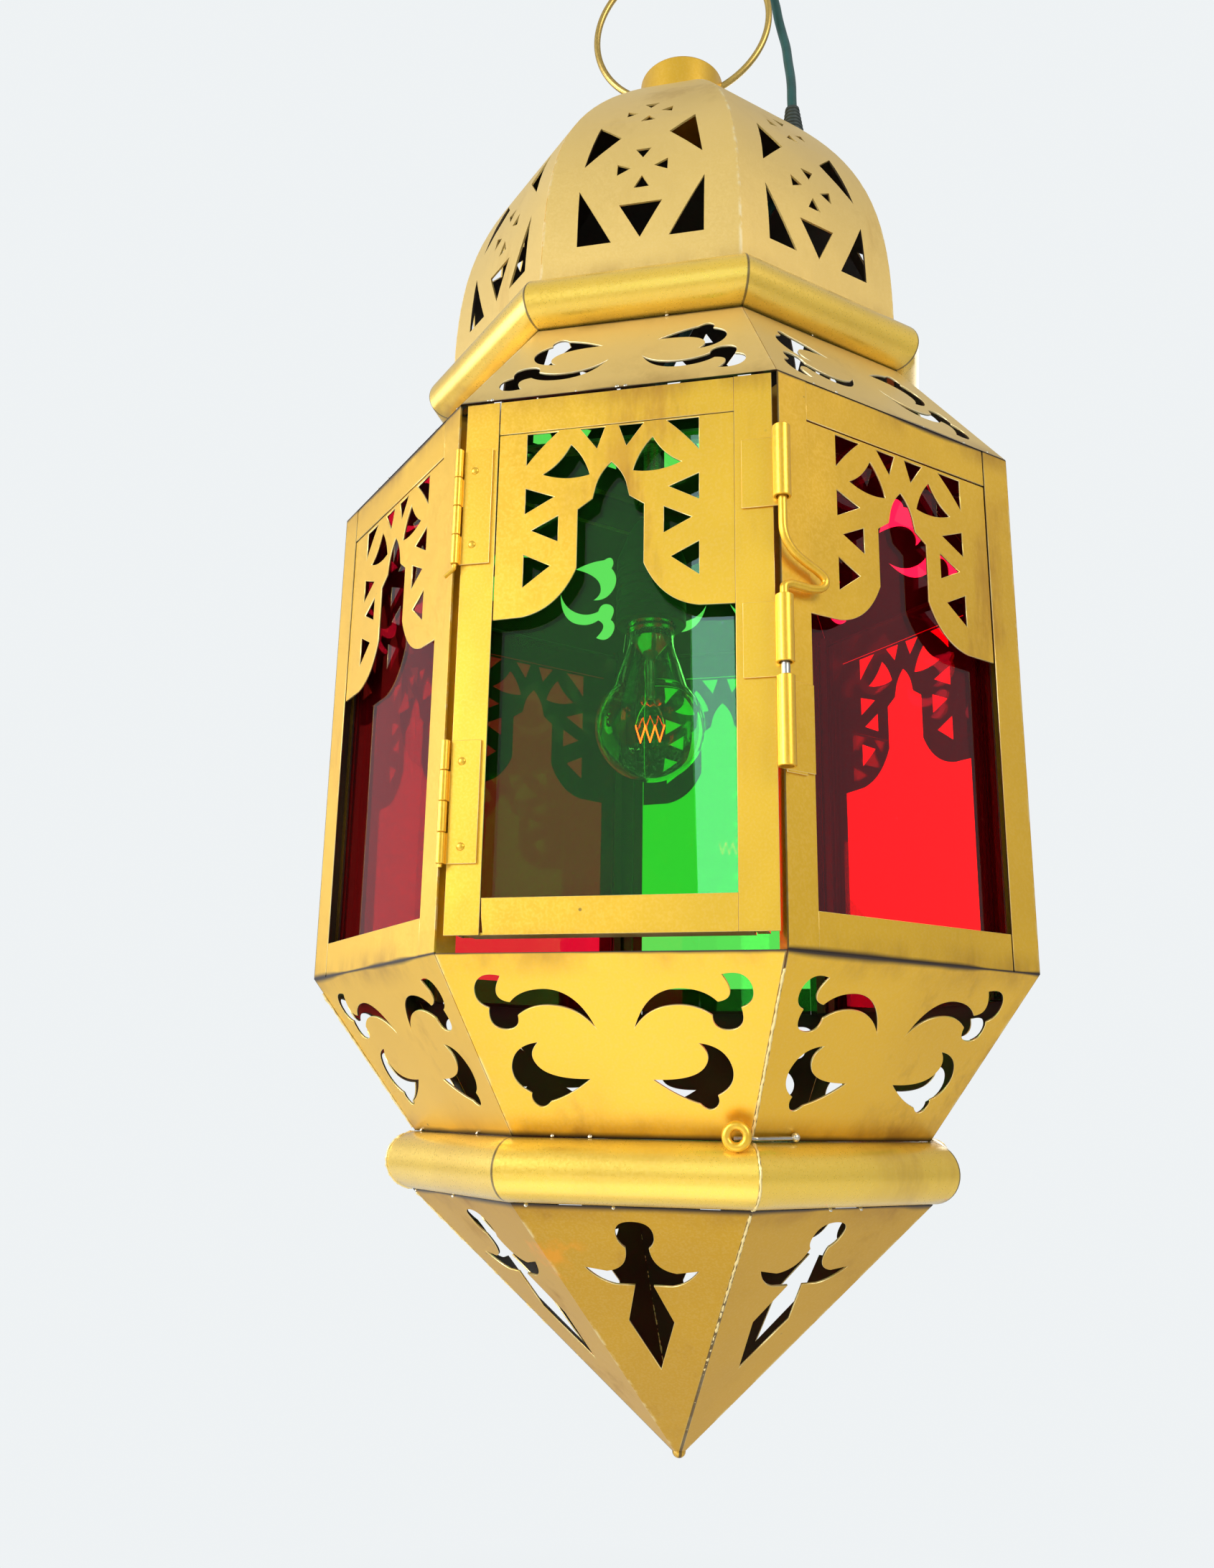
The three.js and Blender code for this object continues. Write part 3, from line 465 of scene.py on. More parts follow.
def trimmed(mesh, planes):
    """Cuts away what lies beyond each plane, given as a point and its outward normal."""
    bm = opened(mesh)
    for point, normal in planes:
        cut = sliced(bm, point, normal, clear_outer=True)["geom_cut"]
        rim = [e for e in cut if isinstance(e, bmesh.types.BMEdge)]
        bmesh.ops.holes_fill(bm, edges=rim, sides=0)
    return outward(bm)


def panel_axes(origin, across, up):
    """Moves a panel's x, y and z to across, up and out of its face."""
    turn = Matrix((across, up, across.cross(up))).transposed()
    return Matrix.Translation(origin) @ turn.to_4x4()


def slope(z0, corner0, z1, corner1):
    """Panel axes of side 0 on the slope between two heights; y runs away from the first."""
    across = Vector((1 if z1 > z0 else -1, 0, 0))
    up = Vector((0, apothem(corner0) - apothem(corner1), z1 - z0)).normalized()
    return panel_axes(world((0, -apothem(corner0), z0)), across, up)


def side_planes(inset):
    """Planes through the axis that bound side 0, moved in by an inset."""
    normals = [Vector((sign * cos(HALF_SIDE), sin(HALF_SIDE), 0)) for sign in (-1, 1)]
    return [(-normal * inset * MM, normal) for normal in normals]


def mitres(z0, z1):
    """Planes that bound side 0 between two heights, half a gap in, or close at the walls' foot."""
    low, high = (GAP / 2 if z else SOLDERED for z in (z0, z1))
    return [
        (world((0, 0, z0 + low)), Vector((0, 0, -1))), (world((0, 0, z1 - high)), Vector((0, 0, 1))),
        *side_planes(GAP / 2),
    ]


def on_wall(mesh):
    """A mesh in panel axes, put on the plane of side 0's wall."""
    return placed(mesh, slope(0, BODY_CORNER, BODY_TOP, BODY_CORNER))


# Walls and door

def arch_plate(half, top, shift, seams):
    """Scalloped arch between the stiles, drawn in wall axes."""
    start, end, foot = seams[0] - half, half - seams[1], ARCH_FOOT + shift[1]
    edge = moved([*ARCH_EDGE, *mirrored(ARCH_EDGE)[1:]], shift)
    outline = [(start, foot), *edge, (end, foot), (end, top), (start, top)]
    return plate(outline, [moved(cut, shift) for cut in ARCH_CUTS], front=-ARCH_STEP_BACK)


def glass_channel(bottom, top, half):
    """Bent channels at the sides and a shelf below, which hold the pane behind the wall."""
    stop = GLASS_SETBACK - GAP
    back = GLASS_SETBACK + GLASS + GAP
    inner = half - 1
    reach = half - CHANNEL_REACH
    behind = -1.1
    rib = [
        (inner, behind), (half, behind), (half, -back - 1), (reach, -back - 1), (reach, -back),
        (inner, -back), (inner, -stop), (reach, -stop), (reach, 1 - stop), (inner, 1 - stop),
    ]
    upright = Matrix(((1, 0, 0, 0), (0, 0, 1, 0), (0, 1, 0, 0), (0, 0, 0, 1)))
    crosswise = Matrix(((0, 0, 1, 0), (0, 1, 0, 0), (-1, 0, 0, 0), (0, 0, 0, 1)))
    ribs = [
        placed(prism(section, bottom + 0.5, top - 1.5), upright) for section in (rib, mirrored(rib))
    ]
    shelf = prism(rectangle(-behind, bottom, back + 1, bottom + 1), 0.5 - reach, reach - 0.5)
    return outward(opened(*ribs, placed(shelf, crosswise)), 1e-8)


def window_wall(edges, window, half, arch_top, shift, channel, seams, split=0):
    """Stiles over the full height, rails between them, the arch and the glass channel."""
    left, right, bottom, top = edges
    low, high = window
    start, end = seams[0] - half, half - seams[1]
    bottom_rail = [
        (start + split, bottom), (end, bottom), (end, low), (start, low),
        (start + split * 0.2, (bottom + low) / 2),
    ]
    return merged(
        plate(bottom_rail, front=-RAIL_STEP_BACK),
        plate(rectangle(start, high, end, top), front=-RAIL_STEP_BACK),
        plate(rectangle(left, bottom, -half, top)), plate(rectangle(half, bottom, right, top)),
        arch_plate(half, arch_top, shift, seams), glass_channel(bottom, top, channel),
    )


def make_walls(paint):
    corner = 1.1 * BODY_CORNER * sin(HALF_SIDE)
    wall = window_wall((-corner, corner, -1, BODY_TOP + 1), (16, 227), WINDOW_HALF, 226.3, (0, 0),
                       CHANNEL_OUTER, (0.1, 0.55))
    wall = trimmed(on_wall(wall), mitres(0, BODY_TOP))
    for side in range(1, SIDES):
        shown(placed(wall, side_turn(side)), f"wall_{side}", f"wall_frame_{side}", paint)


def make_door(paint):
    door = window_wall((-67, 68, 7, 244), (22, 228), DOOR_WINDOW_HALF, 227.7, DOOR_ARCH_SHIFT,
                       CHANNEL_OUTER - 1, (0.4, 0.08), 1.1)
    shown(on_wall(door), "door", "door_frame", paint, body="door")


# Sloping storeys, cone and rolls

def slope_panel(z0, corner0, z1, corner1, holes):
    length = hypot(z1 - z0, apothem(corner1) - apothem(corner0))
    half = max(corner0, corner1) * sin(HALF_SIDE) + SPARE
    panel = plate(rectangle(-half, -SPARE, half, length + SPARE), holes)
    panel = placed(panel, slope(z0, corner0, z1, corner1))
    return trimmed(panel, mitres(min(z0, z1), max(z0, z1)))


def make_storeys(paint, painted_sheen_paint):
    frustum = slope_panel(0, BODY_CORNER, FRUSTUM_END, NECK_CORNER, both_sides(COMMA, SCROLL))
    skirt = slope_panel(BODY_TOP, BODY_CORNER, SKIRT_END, NECK_CORNER,
                        both_sides(COMMA, moved(SCROLL, (0, -6))))
    for side in range(SIDES):
        turn = side_turn(side)
        shown(placed(frustum, turn), f"frustum_{side}", f"frustum_panel_{side}", paint)
        # The skirt takes the paler copy of the gold, which is painted sheen.
        shown(placed(skirt, turn), f"skirt_{side}", f"skirt_panel_{side}", painted_sheen_paint)


def make_cone(paint):
    """Eight pierced faces that meet at the tip, with the solder bead below."""
    length = hypot(LOWER_ROLL_END - CONE_TIP, apothem(NECK_CORNER))
    half = NECK_CORNER * sin(HALF_SIDE) + SPARE
    face = plate(rectangle(-half, -SPARE, half, length - 4), [DAGGER])
    face = placed(face, slope(LOWER_ROLL_END, NECK_CORNER, CONE_TIP, 0))
    top = mitres(CONE_TIP, LOWER_ROLL_END)[1]
    face = trimmed(face, [top, *side_planes(HAIRLINE)])
    faces = grown(face, round_axis_tree(), Count=SIDES, Material=paint)
    shown(faces, "pointed_bottom", "bottom_cone", paint)
    bead = lathe(arc(-90, 90, 12, (0, CONE_TIP + 2.6), 3.2, 2.9), 24)
    shown(bead, "tip_bead", None, paint, 50)


def make_roll(name, z0, z1, paint):
    """Hollow half-round roll between two heights, its long edges cut into short ones."""
    low, high = z0 + GAP / 2, z1 - GAP / 2
    middle, half = (NECK_CORNER, (low + high) / 2), (high - low) / 2
    lip = NECK_CORNER - ROLL_LIP
    bm = opened(lathe([
        (lip, high), *arc(90, -90, 20, middle, ROLL_BULGE, half), (lip, low), (lip, low + SHEET),
        *arc(-90, 90, 20, middle, ROLL_BULGE - SHEET, half - SHEET), (lip, high - SHEET),
    ], SIDES, start=HALF_SIDE))
    lengthwise = [e for e in bm.edges if e.calc_length() > ROLL_LONG_EDGE * MM]
    bmesh.ops.subdivide_edges(bm, edges=lengthwise, cuts=ROLL_CUTS)
    shown(closed(bm), f"{name}_shell", name, paint, 30)


# Dome

def dome_samples():
    """Distance up the face, apothem and height at points along the dome's curve."""
    p = [Vector((apothem(r), DOME_START + z)) for r, z in DOME_CURVE]
    samples, distance, last = [], 0.0, p[0]
    for i in range(DOME_SAMPLES + 1):
        t = i / DOME_SAMPLES
        u = 1 - t
        point = u ** 3 * p[0] + 3 * u * u * t * p[1] + 3 * u * t * t * p[2] + t ** 3 * p[3]
        distance += (point - last).length
        samples.append((distance, point.x, point.y))
        last = point
    return samples


DOME = dome_samples()


def dome_at(distance):
    """Apothem and height at a distance up the dome's face."""
    for (d0, r0, z0), (d1, r1, z1) in zip(DOME, DOME[1:]):
        if d1 >= distance:
            t = (distance - d0) / (d1 - d0)
            return r0 + t * (r1 - r0), z0 + t * (z1 - z0)
    return DOME[-1][1:]


def dome_distance(radius):
    """Distance up the face where the apothem has shrunk to a radius."""
    return next(d for d, r, z in DOME if r <= radius)


def dome_face(seam_side):
    """One pierced dome face before its sheet gets a thickness; its free edge is at the seam."""
    rim = KNOB_RADIUS + GAP
    end = dome_distance(apothem(rim))
    heights = [end * i / DOME_ROWS for i in range(DOME_ROWS + 1)]
    edges = {}
    for sign in (-1, 1):
        inset = GAP / 2 / cos(HALF_SIDE) if sign == seam_side else 0.0
        edges[sign] = [(sign * (dome_at(h)[0] * tan(HALF_SIDE) - inset), h) for h in heights]
    angles = [HALF_SIDE * (1 - i / 4) for i in range(1, 8)]
    crown = [(rim * sin(a), dome_distance(rim * cos(a))) for a in angles]
    outline = [*edges[1], *crown, *reversed(edges[-1])]
    bm = opened(flat_curve([outline, *DOME_CUTS], 0.0, 0.0))
    bmesh.ops.remove_doubles(bm, verts=bm.verts, dist=1e-7)
    for height in heights[1:-1]:
        sliced(bm, (0, height * MM, 0), (0, 1, 0), 1e-6)
    bmesh.ops.triangulate(bm, faces=bm.faces)
    for vert in bm.verts:
        radius, height = dome_at(vert.co.y / MM)
        vert.co = Vector((vert.co.x, -radius * MM, BASE + height * MM))
    return closed(bm)


def thickened(mesh):
    obj = linked("sheet", mesh)
    solidify = obj.modifiers.new("thickness", "SOLIDIFY")
    solidify.thickness = SHEET * MM
    solidify.offset = -1
    solidify.use_even_offset = True
    return evaluated_mesh(obj)


def make_dome(paint):
    """Four sheets, each folded into two faces."""
    bm = opened(dome_face(-1), placed(dome_face(1), side_turn(1)))
    bmesh.ops.remove_doubles(bm, verts=bm.verts, dist=2e-5)
    bmesh.ops.recalc_face_normals(bm, faces=bm.faces)
    sample = max(bm.faces, key=lambda f: f.calc_area())
    if sample.normal.dot(sample.calc_center_median() - world((0, 0, DOME_START))) < 0:
        bmesh.ops.reverse_faces(bm, faces=bm.faces)
    pair = thickened(closed(bm))
    for side in range(0, SIDES, 2):
        shown(placed(pair, side_turn(side)), f"dome_{side}", f"dome_shell_{side}", paint, 30)


# Shapes that geometry trees make: drops, copies round the axis and runs of solder

def geometry_tree(name, sockets):
    tree = bpy.data.node_groups.new(name, "GeometryNodeTree")
    tree.interface.new_socket("Geometry", in_out="INPUT", socket_type="NodeSocketGeometry")
    for label, kind, value in sockets:
        socket = tree.interface.new_socket(label, in_out="INPUT", socket_type="NodeSocket" + kind)
        if value is not None:
            socket.default_value = value
    tree.interface.new_socket("Geometry", in_out="OUTPUT", socket_type="NodeSocketGeometry")
    return tree, Wiring(tree), tree.nodes.new("NodeGroupInput").outputs


def finished_tree(tree, wire, geometry, material, smooth=True):
    if smooth:
        geometry = wire.node("GeometryNodeSetShadeSmooth", Geometry=geometry).outputs[0]
    painted = wire.node("GeometryNodeSetMaterial", Geometry=geometry, Material=material)
    wire.feed(tree.nodes.new("NodeGroupOutput").inputs["Geometry"], painted.outputs[0])
    return tree


def beads_tree():
    """Flattened drops of varying size on the given points, each facing out of the sheet."""
    tree, wire, given = geometry_tree("beads_on_points", [
        ("Radius", "Float", 0.001), ("Flatness", "Float", 0.5), ("Spread", "Float", 0.4),
        ("Seed", "Int", 1), ("Material", "Material", None),
    ])
    drop = wire.node("GeometryNodeMeshUVSphere", Segments=12, Rings=8, Radius=given["Radius"])
    size = wire.node("FunctionNodeRandomValue", {"data_type": "FLOAT"}, Seed=given["Seed"])
    wire.feed(size.inputs[2], wire.math("SUBTRACT", 1.0, given["Spread"]))
    wire.feed(size.inputs[3], wire.plus(1.0, given["Spread"]))
    scale = wire.node("ShaderNodeCombineXYZ", X=size.outputs[1], Y=size.outputs[1],
                      Z=wire.times(size.outputs[1], given["Flatness"]))
    out = wire.node("GeometryNodeInputNamedAttribute", {"data_type": "FLOAT_VECTOR"}, Name="out")
    turn = wire.node("FunctionNodeAlignRotationToVector", {"axis": "Z"}, Vector=out.outputs[0])
    drops = wire.node("GeometryNodeInstanceOnPoints", Points=given["Geometry"],
                      Instance=drop.outputs["Mesh"], Rotation=turn.outputs[0],
                      Scale=scale.outputs[0])
    real = wire.node("GeometryNodeRealizeInstances", Geometry=drops.outputs[0])
    return finished_tree(tree, wire, real.outputs[0], given["Material"])


def round_axis_tree():
    """Equal copies of one face of the sheet, turned evenly round the lantern's axis."""
    tree, wire, given = geometry_tree("faces_round_axis", [
        ("Count", "Int", SIDES), ("Material", "Material", None),
    ])
    points = wire.node("GeometryNodeMeshLine", Count=given["Count"], Offset=(0, 0, 0))
    share = wire.math("DIVIDE", wire.node("GeometryNodeInputIndex").outputs[0], given["Count"])
    turn = wire.node("ShaderNodeCombineXYZ", Z=wire.times(share, 2 * pi))
    rotation = wire.node("FunctionNodeEulerToRotation", Euler=turn.outputs[0])
    copies = wire.node("GeometryNodeInstanceOnPoints", Points=points.outputs[0],
                       Instance=given["Geometry"], Rotation=rotation.outputs[0])
    real = wire.node("GeometryNodeRealizeInstances", Geometry=copies.outputs[0])
    return finished_tree(tree, wire, real.outputs[0], given["Material"], smooth=False)


def solder_tree():
    """Lumpy run of solder along the given line."""
    tree, wire, given = geometry_tree("solder_run", [
        ("Radius", "Float", 0.0006), ("Lumps", "Float", 0.0006), ("Step", "Float", 0.001),
        ("Material", "Material", None),
    ])
    line = wire.node("GeometryNodeMeshToCurve", Mesh=given["Geometry"])
    fine = wire.node("GeometryNodeResampleCurve", {"mode": "LENGTH"}, Curve=line.outputs[0],
                     Length=given["Step"])
    round_wire = wire.node("GeometryNodeCurvePrimitiveCircle", Resolution=8,
                           Radius=given["Radius"])
    run = wire.node("GeometryNodeCurveToMesh", Curve=fine.outputs[0],
                    Profile_Curve=round_wire.outputs[0], Fill_Caps=True)
    lumps = wire.node("ShaderNodeTexNoise", Scale=420.0, Detail=2.0)
    push = wire.times(wire.math("SUBTRACT", lumps.outputs[0], 0.6), given["Lumps"])
    along = wire.node("ShaderNodeVectorMath", {"operation": "SCALE"}, Scale=push)
    wire.feed(along.inputs[0], wire.node("GeometryNodeInputNormal").outputs[0])
    lumpy = wire.node("GeometryNodeSetPosition", Geometry=run.outputs[0], Offset=along.outputs[0])
    real = wire.node("GeometryNodeRealizeInstances", Geometry=lumpy.outputs[0])
    return finished_tree(tree, wire, real.outputs[0], given["Material"])


def grown(mesh, tree, **settings):
    """Plain mesh that a geometry tree makes from the given mesh."""
    obj = linked("grown", mesh)
    modifier = obj.modifiers.new("tree", "NODES")
    modifier.node_group = tree
    for item in tree.interface.items_tree:
        if item.in_out == "INPUT" and item.name in settings:
            modifier[item.identifier] = settings[item.name]
    return evaluated_mesh(obj)


def beads(places, material, tree, radius, flatness, spread):
    """Drops at places, each a point in metres and the direction that it faces."""
    mesh = bpy.data.meshes.new("points")
    mesh.from_pydata([point for point, out in places], [], [])
    attribute = mesh.attributes.new("out", "FLOAT_VECTOR", "POINT")
    attribute.data.foreach_set("vector", [value for point, out in places for value in out])
    return grown(mesh, tree, Radius=radius * MM, Flatness=flatness, Spread=spread, Seed=3,
                 Material=material)


def solder_line(side, line, tree, material):
    """Run of solder down a corner, through points of radius and height."""
    angle = (2 * side + 1) * HALF_SIDE
    points = [world((r * sin(angle), -r * cos(angle), z)) for r, z in line]
    mesh = bpy.data.meshes.new("line")
    mesh.from_pydata(points, [(i, i + 1) for i in range(len(points) - 1)], [])
    return grown(mesh, tree, Radius=0.7 * MM, Lumps=1.6 * MM, Step=0.8 * MM, Material=material)


def make_solder(solder, seam, paint):
    """Solder runs on the corners, drops in the joints between the storeys, and the rivets."""
    chance = random.Random(7)
    bead_rule, run_rule = beads_tree(), solder_tree()
    lines = [
        [(179.3, -6.8), (132.2, -69.5)], arc(90, -90, 12, (NECK_CORNER, -84.425), 13.05, 13),
        [(129, -99.3), (6, -211.5)],
    ]
    runs = [
        solder_line(side, line, run_rule, seam) for side in range(0, SIDES, 2) for line in lines
    ]
    shown(merged(*runs), "corner_solder", None, seam, 80)
    joints = [
        (NECK_CORNER, FRUSTUM_END + 0.7, 0.9, 2), (NECK_CORNER, SKIRT_END - 0.6, 0.9, 1),
        (BODY_CORNER, BODY_TOP + 1.1, -0.9, 5), (NECK_CORNER, LOWER_ROLL_END - 0.5, 0.6, 2),
    ]
    drops = []
    for side in range(SIDES):
        turn = side_turn(side)
        for corner, height, out, count in joints:
            half = corner * sin(HALF_SIDE) * 0.93
            for _ in range(count):
                point = world((chance.uniform(-half, half), -apothem(corner) - out, height))
                drops.append((turn @ point, turn.to_3x3() @ Vector((0, -0.8, 0.6))))
    shown(beads(drops, solder, bead_rule, 0.75, 0.6, 0.45), "joint_solder", None, solder, 80)
    front = -apothem(BODY_CORNER) - GAP - LEAF
    rivets = [(world((x, front, z)), Vector((0, -1, 0))) for x, z in RIVETS]
    shown(beads(rivets, paint, bead_rule, 1.7, 0.45, 0.06), "hinge_rivets", None, paint, 80,
          body="door")


# Knob, ring, hook and rose

def cut_by(mesh, tool):
    """The mesh with the tool's solid taken out of it."""
    obj, cutter = linked("body", mesh), linked("tool", tool)
    cut = obj.modifiers.new("cut", "BOOLEAN")
    cut.operation = "DIFFERENCE"
    cut.solver = "EXACT"
    cut.object = cutter
    result = evaluated_mesh(obj)
    bpy.data.objects.remove(cutter)
    return result


def ring(wire):
    line = arc(90, -270, 120, (0, RING_HEIGHT), RING_RADIUS)[:-1]
    return tube([(x, 0, z) for x, z in line], wire, cyclic=True)


def make_knob(paint):
    rim = 2.2
    inner = KNOB_RADIUS - SHEET
    shell = lathe([
        (0, KNOB_TOP - 0.2), (KNOB_RADIUS * 0.6, KNOB_TOP - 0.1),
        *arc(90, 0, 6, (KNOB_RADIUS - rim, KNOB_TOP - rim), rim), (KNOB_RADIUS, KNOB_FOOT),
        (inner, KNOB_FOOT), (inner, KNOB_TOP - SHEET - 1), (inner - 1, KNOB_TOP - SHEET),
        (0, KNOB_TOP - SHEET),
    ], 72)
    shown(cut_by(shell, ring(RING_WIRE + 0.6)), "knob", "knob_cap", paint, 30)


def make_hanger(paint, steel, plastic):
    shown(ring(RING_WIRE), "ring", "hanging_ring", paint, 60, body="hanger")
    middle = RING_HEIGHT + RING_RADIUS - RING_WIRE - GAP - HOOK_WIRE + HOOK_BEND
    hook = tube([
        (0, -HOOK_BEND - 2.5, middle + 9), (0, -HOOK_BEND - 0.6, middle + 3),
        *[(0, y, z) for y, z in arc(180, 360, 12, (0, middle), HOOK_BEND)],
        (0, 7.6, middle + 6), (0, 3.2, middle + 12), (0, 0.4, middle + 18),
        (0, 0, middle + 33.8), (0, 0, CEILING - 3),
    ], HOOK_WIRE, 1)
    shown(hook, "hook", "ceiling_hook", steel, 50, body="hanger")
    foot, bore, soft = CEILING - ROSE_DEPTH, HOOK_WIRE + GAP, 0.5
    rose = lathe([
        (bore, foot + 0.6), (bore + 0.6, foot),
        *arc(-90, 0, 14, (10, foot + 17), ROSE_RADIUS - 10, 17), (ROSE_RADIUS, CEILING - soft),
        (ROSE_RADIUS - soft, CEILING), (bore, CEILING),
    ], 96)
    rose = cut_by(rose, tube(CORD_ROUTE[:4], CORD_BORE, resolution=6))
    shown(rose, "rose", "ceiling_rose", plastic, 30, body="hanger")


# Hinges, bolt and eye

def at_door(across, out):
    return across, -apothem(BODY_CORNER) - out


def door_plate(left, right, low, high, out, rim=RIM):
    """Small plate parallel to the door, from a distance out of its face."""
    return on_wall(plate(rectangle(left, low, right, high), front=out + LEAF, thickness=LEAF,
                         rim=rim))


def collar(centre, outer, inner, low, high):
    """Short tube with softened ends, standing upright."""
    soft = min(0.25, (outer - inner) / 3)
    return lathe([
        (inner, low), (outer - soft, low), (outer, low + soft), (outer, high - soft),
        (outer - soft, high), (inner, high),
    ], 32, centre)


def make_hinge(name, paint):
    bottom, top = HINGES[name]
    x, y = at_door(PIN_ACROSS, PIN_OUT)
    clear = PIN_ACROSS + KNUCKLE_RADIUS + 0.4
    bore = PIN_RADIUS + GAP
    height = (top - bottom - (KNUCKLES - 1) * GAP) / KNUCKLES
    leaf = [door_plate(clear, LEAF_EDGE, bottom, top, GAP)]
    post = []
    for i in range(KNUCKLES):
        high = top - i * (height + GAP)
        span = high - height, high
        if i % 2:
            leaf.append(collar((x, y), KNUCKLE_RADIUS, bore, *span))
            leaf.append(door_plate(PIN_ACROSS + bore + 0.3, clear, *span, GAP, 0))
        else:
            post.append(collar((x, y), KNUCKLE_RADIUS, PIN_RADIUS, *span))
            post.append(door_plate(PIN_ACROSS - LEAF / 2, PIN_ACROSS + LEAF / 2, *span,
                                   -SHEET - 0.5, 0))
    pin = [(x, y, top), (x, y, bottom - 1.5)]
    if name == "upper":
        pin = [(x, y, top), (x, y, bottom), (x, y, bottom - 2), (x - 4, y - 0.5, bottom - 6)]
    post.append(tube(pin, PIN_RADIUS, resolution=3))
    shown(merged(*leaf), f"{name}_hinge_door_half", f"{name}_hinge_leaf", paint, 30, body="door")
    shown(merged(*post), f"{name}_hinge_wall_half", f"{name}_hinge_post", paint, 30)


def make_bolt_work(paint):
    centre = at_door(BOLT_ACROSS, BOLT_OUT)
    for name, (bore_span, plate_span) in GUIDES.items():
        guide = merged(
            collar(centre, TUBE_OUTER, TUBE_BORE, *bore_span),
            door_plate(GUIDE_PLATE_EDGE, BOLT_ACROSS - 1.2, *plate_span, GAP),
        )
        shown(guide, f"{name}_guide", f"{name}_bolt_guide", paint, 30, body="door")
    corner = -BODY_CORNER * sin(HALF_SIDE)
    foot = KEEPER[0]
    keeper = merged(
        collar(centre, TUBE_OUTER, TUBE_BORE, *KEEPER),
        placed(door_plate(corner - 0.5, KEEPER_PLATE_EDGE, *KEEPER, GAP), side_turn(1)),
        placed(door_plate(corner + 1, KEEPER_PLATE_EDGE - 4, foot - 1, foot, GAP), side_turn(1)),
    )
    shown(keeper, "keeper", "bolt_keeper", paint, 30)


BOLT_BENDS = [
    (0, BOLT_PAINTED_FROM), (0, 118), (0, 126.75), (0, 137), (0, 143), (0.4, 145.2),
    (3.4, 146.7), (8, 146.8), (14, 147), (19, 148.1), (21.8, 150.5), (21.4, 153.4),
    (17.5, 155.7), (11.5, 158), (6, 160.8), (2, 165), (0.3, 169.5), (0, 174), (0, 188), (0, 206),
]


def make_bolt(paint, steel):
    x, y = at_door(BOLT_ACROSS, BOLT_OUT)
    slant = sqrt(0.5)
    bends = [(x + across * slant, y + across * slant, z) for across, z in BOLT_BENDS]
    tip = tube([(x, y, KEEPER[1] + GAP), bends[0]], BOLT_WIRE)
    shown(tube(bends, BOLT_WIRE, 0.8), "bolt", "latch_bolt", paint, 50, body="latch_bolt")
    shown(tip, "bolt_tip", None, steel, 50, body="latch_bolt")


def make_eye(paint, steel, solder):
    """Wire eye with its stem, and the pin with a round end that lies in the roll's groove."""
    height = FRUSTUM_END + 1.15
    wall = apothem(NECK_CORNER)
    across, out, groove = 45.5, -wall - 10, -wall - 2.8
    eye = arc(0, 360, 40, (across, height + 1), 4.2)[:-1]
    stem = tube([(across + 4.1, -wall - 2.2, height), (across + 4.1, out, height)], 1.3)
    eye = merged(tube([(x, out, z) for x, z in eye], 1.9, cyclic=True), stem)
    corner = -groove * tan(HALF_SIDE)
    run = 22 * sqrt(0.5)
    x, y, z = corner + run, groove - 0.4 + run, height + 0.3
    pin = tube([
        (across - 2, groove, height), (corner - 2, groove, height),
        (corner + 0.8, groove + 0.4, height), (corner + 3, groove + 2.2, height), (x, y, z),
    ], 0.9, 1)
    ball = lathe(arc(-90, 90, 12, (0, z + 0.3), 1.9), 24, (x, y - 0.6))
    shown(eye, "wire_eye", "seam_eye", paint, 50)
    shown(pin, "eye_pin", "seam_eye", steel, 50)
    shown(ball, "pin_drop", "seam_eye", solder, 50)


# Lamp

def threaded(radius, bore, low, high, pitch, depth, segments=40):
    """Tube at the lamp with a round screw thread outside."""
    bm = bmesh.new()
    rows = max(8, round((high - low) / pitch * 5))

    def ring_at(z, inside=False):
        verts = []
        for j in range(segments):
            wave = 0.5 - 0.5 * cos(2 * pi * (z / pitch - j / segments))
            r = bore if inside else radius - depth * wave
            angle = 2 * pi * j / segments
            verts.append(bm.verts.new(world((LAMP[0] + r * cos(angle), LAMP[1] + r * sin(angle), z))))
        return verts

    outside = [ring_at(low + (high - low) * i / rows) for i in range(rows + 1)]
    bottom, top = ring_at(low, True), ring_at(high, True)
    rings = [bottom, *outside, top, bottom]
    skin(bm, zip(rings, rings[1:]))
    return outward(bm, 1e-8)


def make_lamp(steel, plastic, cap_metal, clear_glass, glow):
    bottom = SKIRT_END + GAP / 2 + SHEET + GAP
    top = bottom + STRAP
    end = apothem(NECK_CORNER) - 1.5
    holes = [arc(0, 360, 16, (x, 0), 3)[:-1] for x in (-90, 60, 100)]
    strap = plate(rectangle(-end, -7, end, 7), holes, front=top, thickness=STRAP)
    inner, low, high = NIPPLE_RADIUS - 0.1, bottom - NUT_HEIGHT, top + NUT_HEIGHT
    nuts = lathe([
        (inner, low), (NUT_RADIUS, low), (NUT_RADIUS + 0.5, low + 0.5),
        (NUT_RADIUS + 0.5, high - 0.5), (NUT_RADIUS, high), (inner, high),
    ], 6, LAMP)
    nipple = threaded(NIPPLE_RADIUS, CORD_BORE, HOLDER_TOP - 9.6, NIPPLE_TOP, 1, 0.35)
    strap = merged(placed(strap, Matrix.Translation((0, 0, BASE))), nuts, nipple)
    shown(strap, "lamp_strap", "holder_bracket", steel, 30)
    make_holder(plastic)
    make_bulb(cap_metal, clear_glass)
    make_filament(glow)


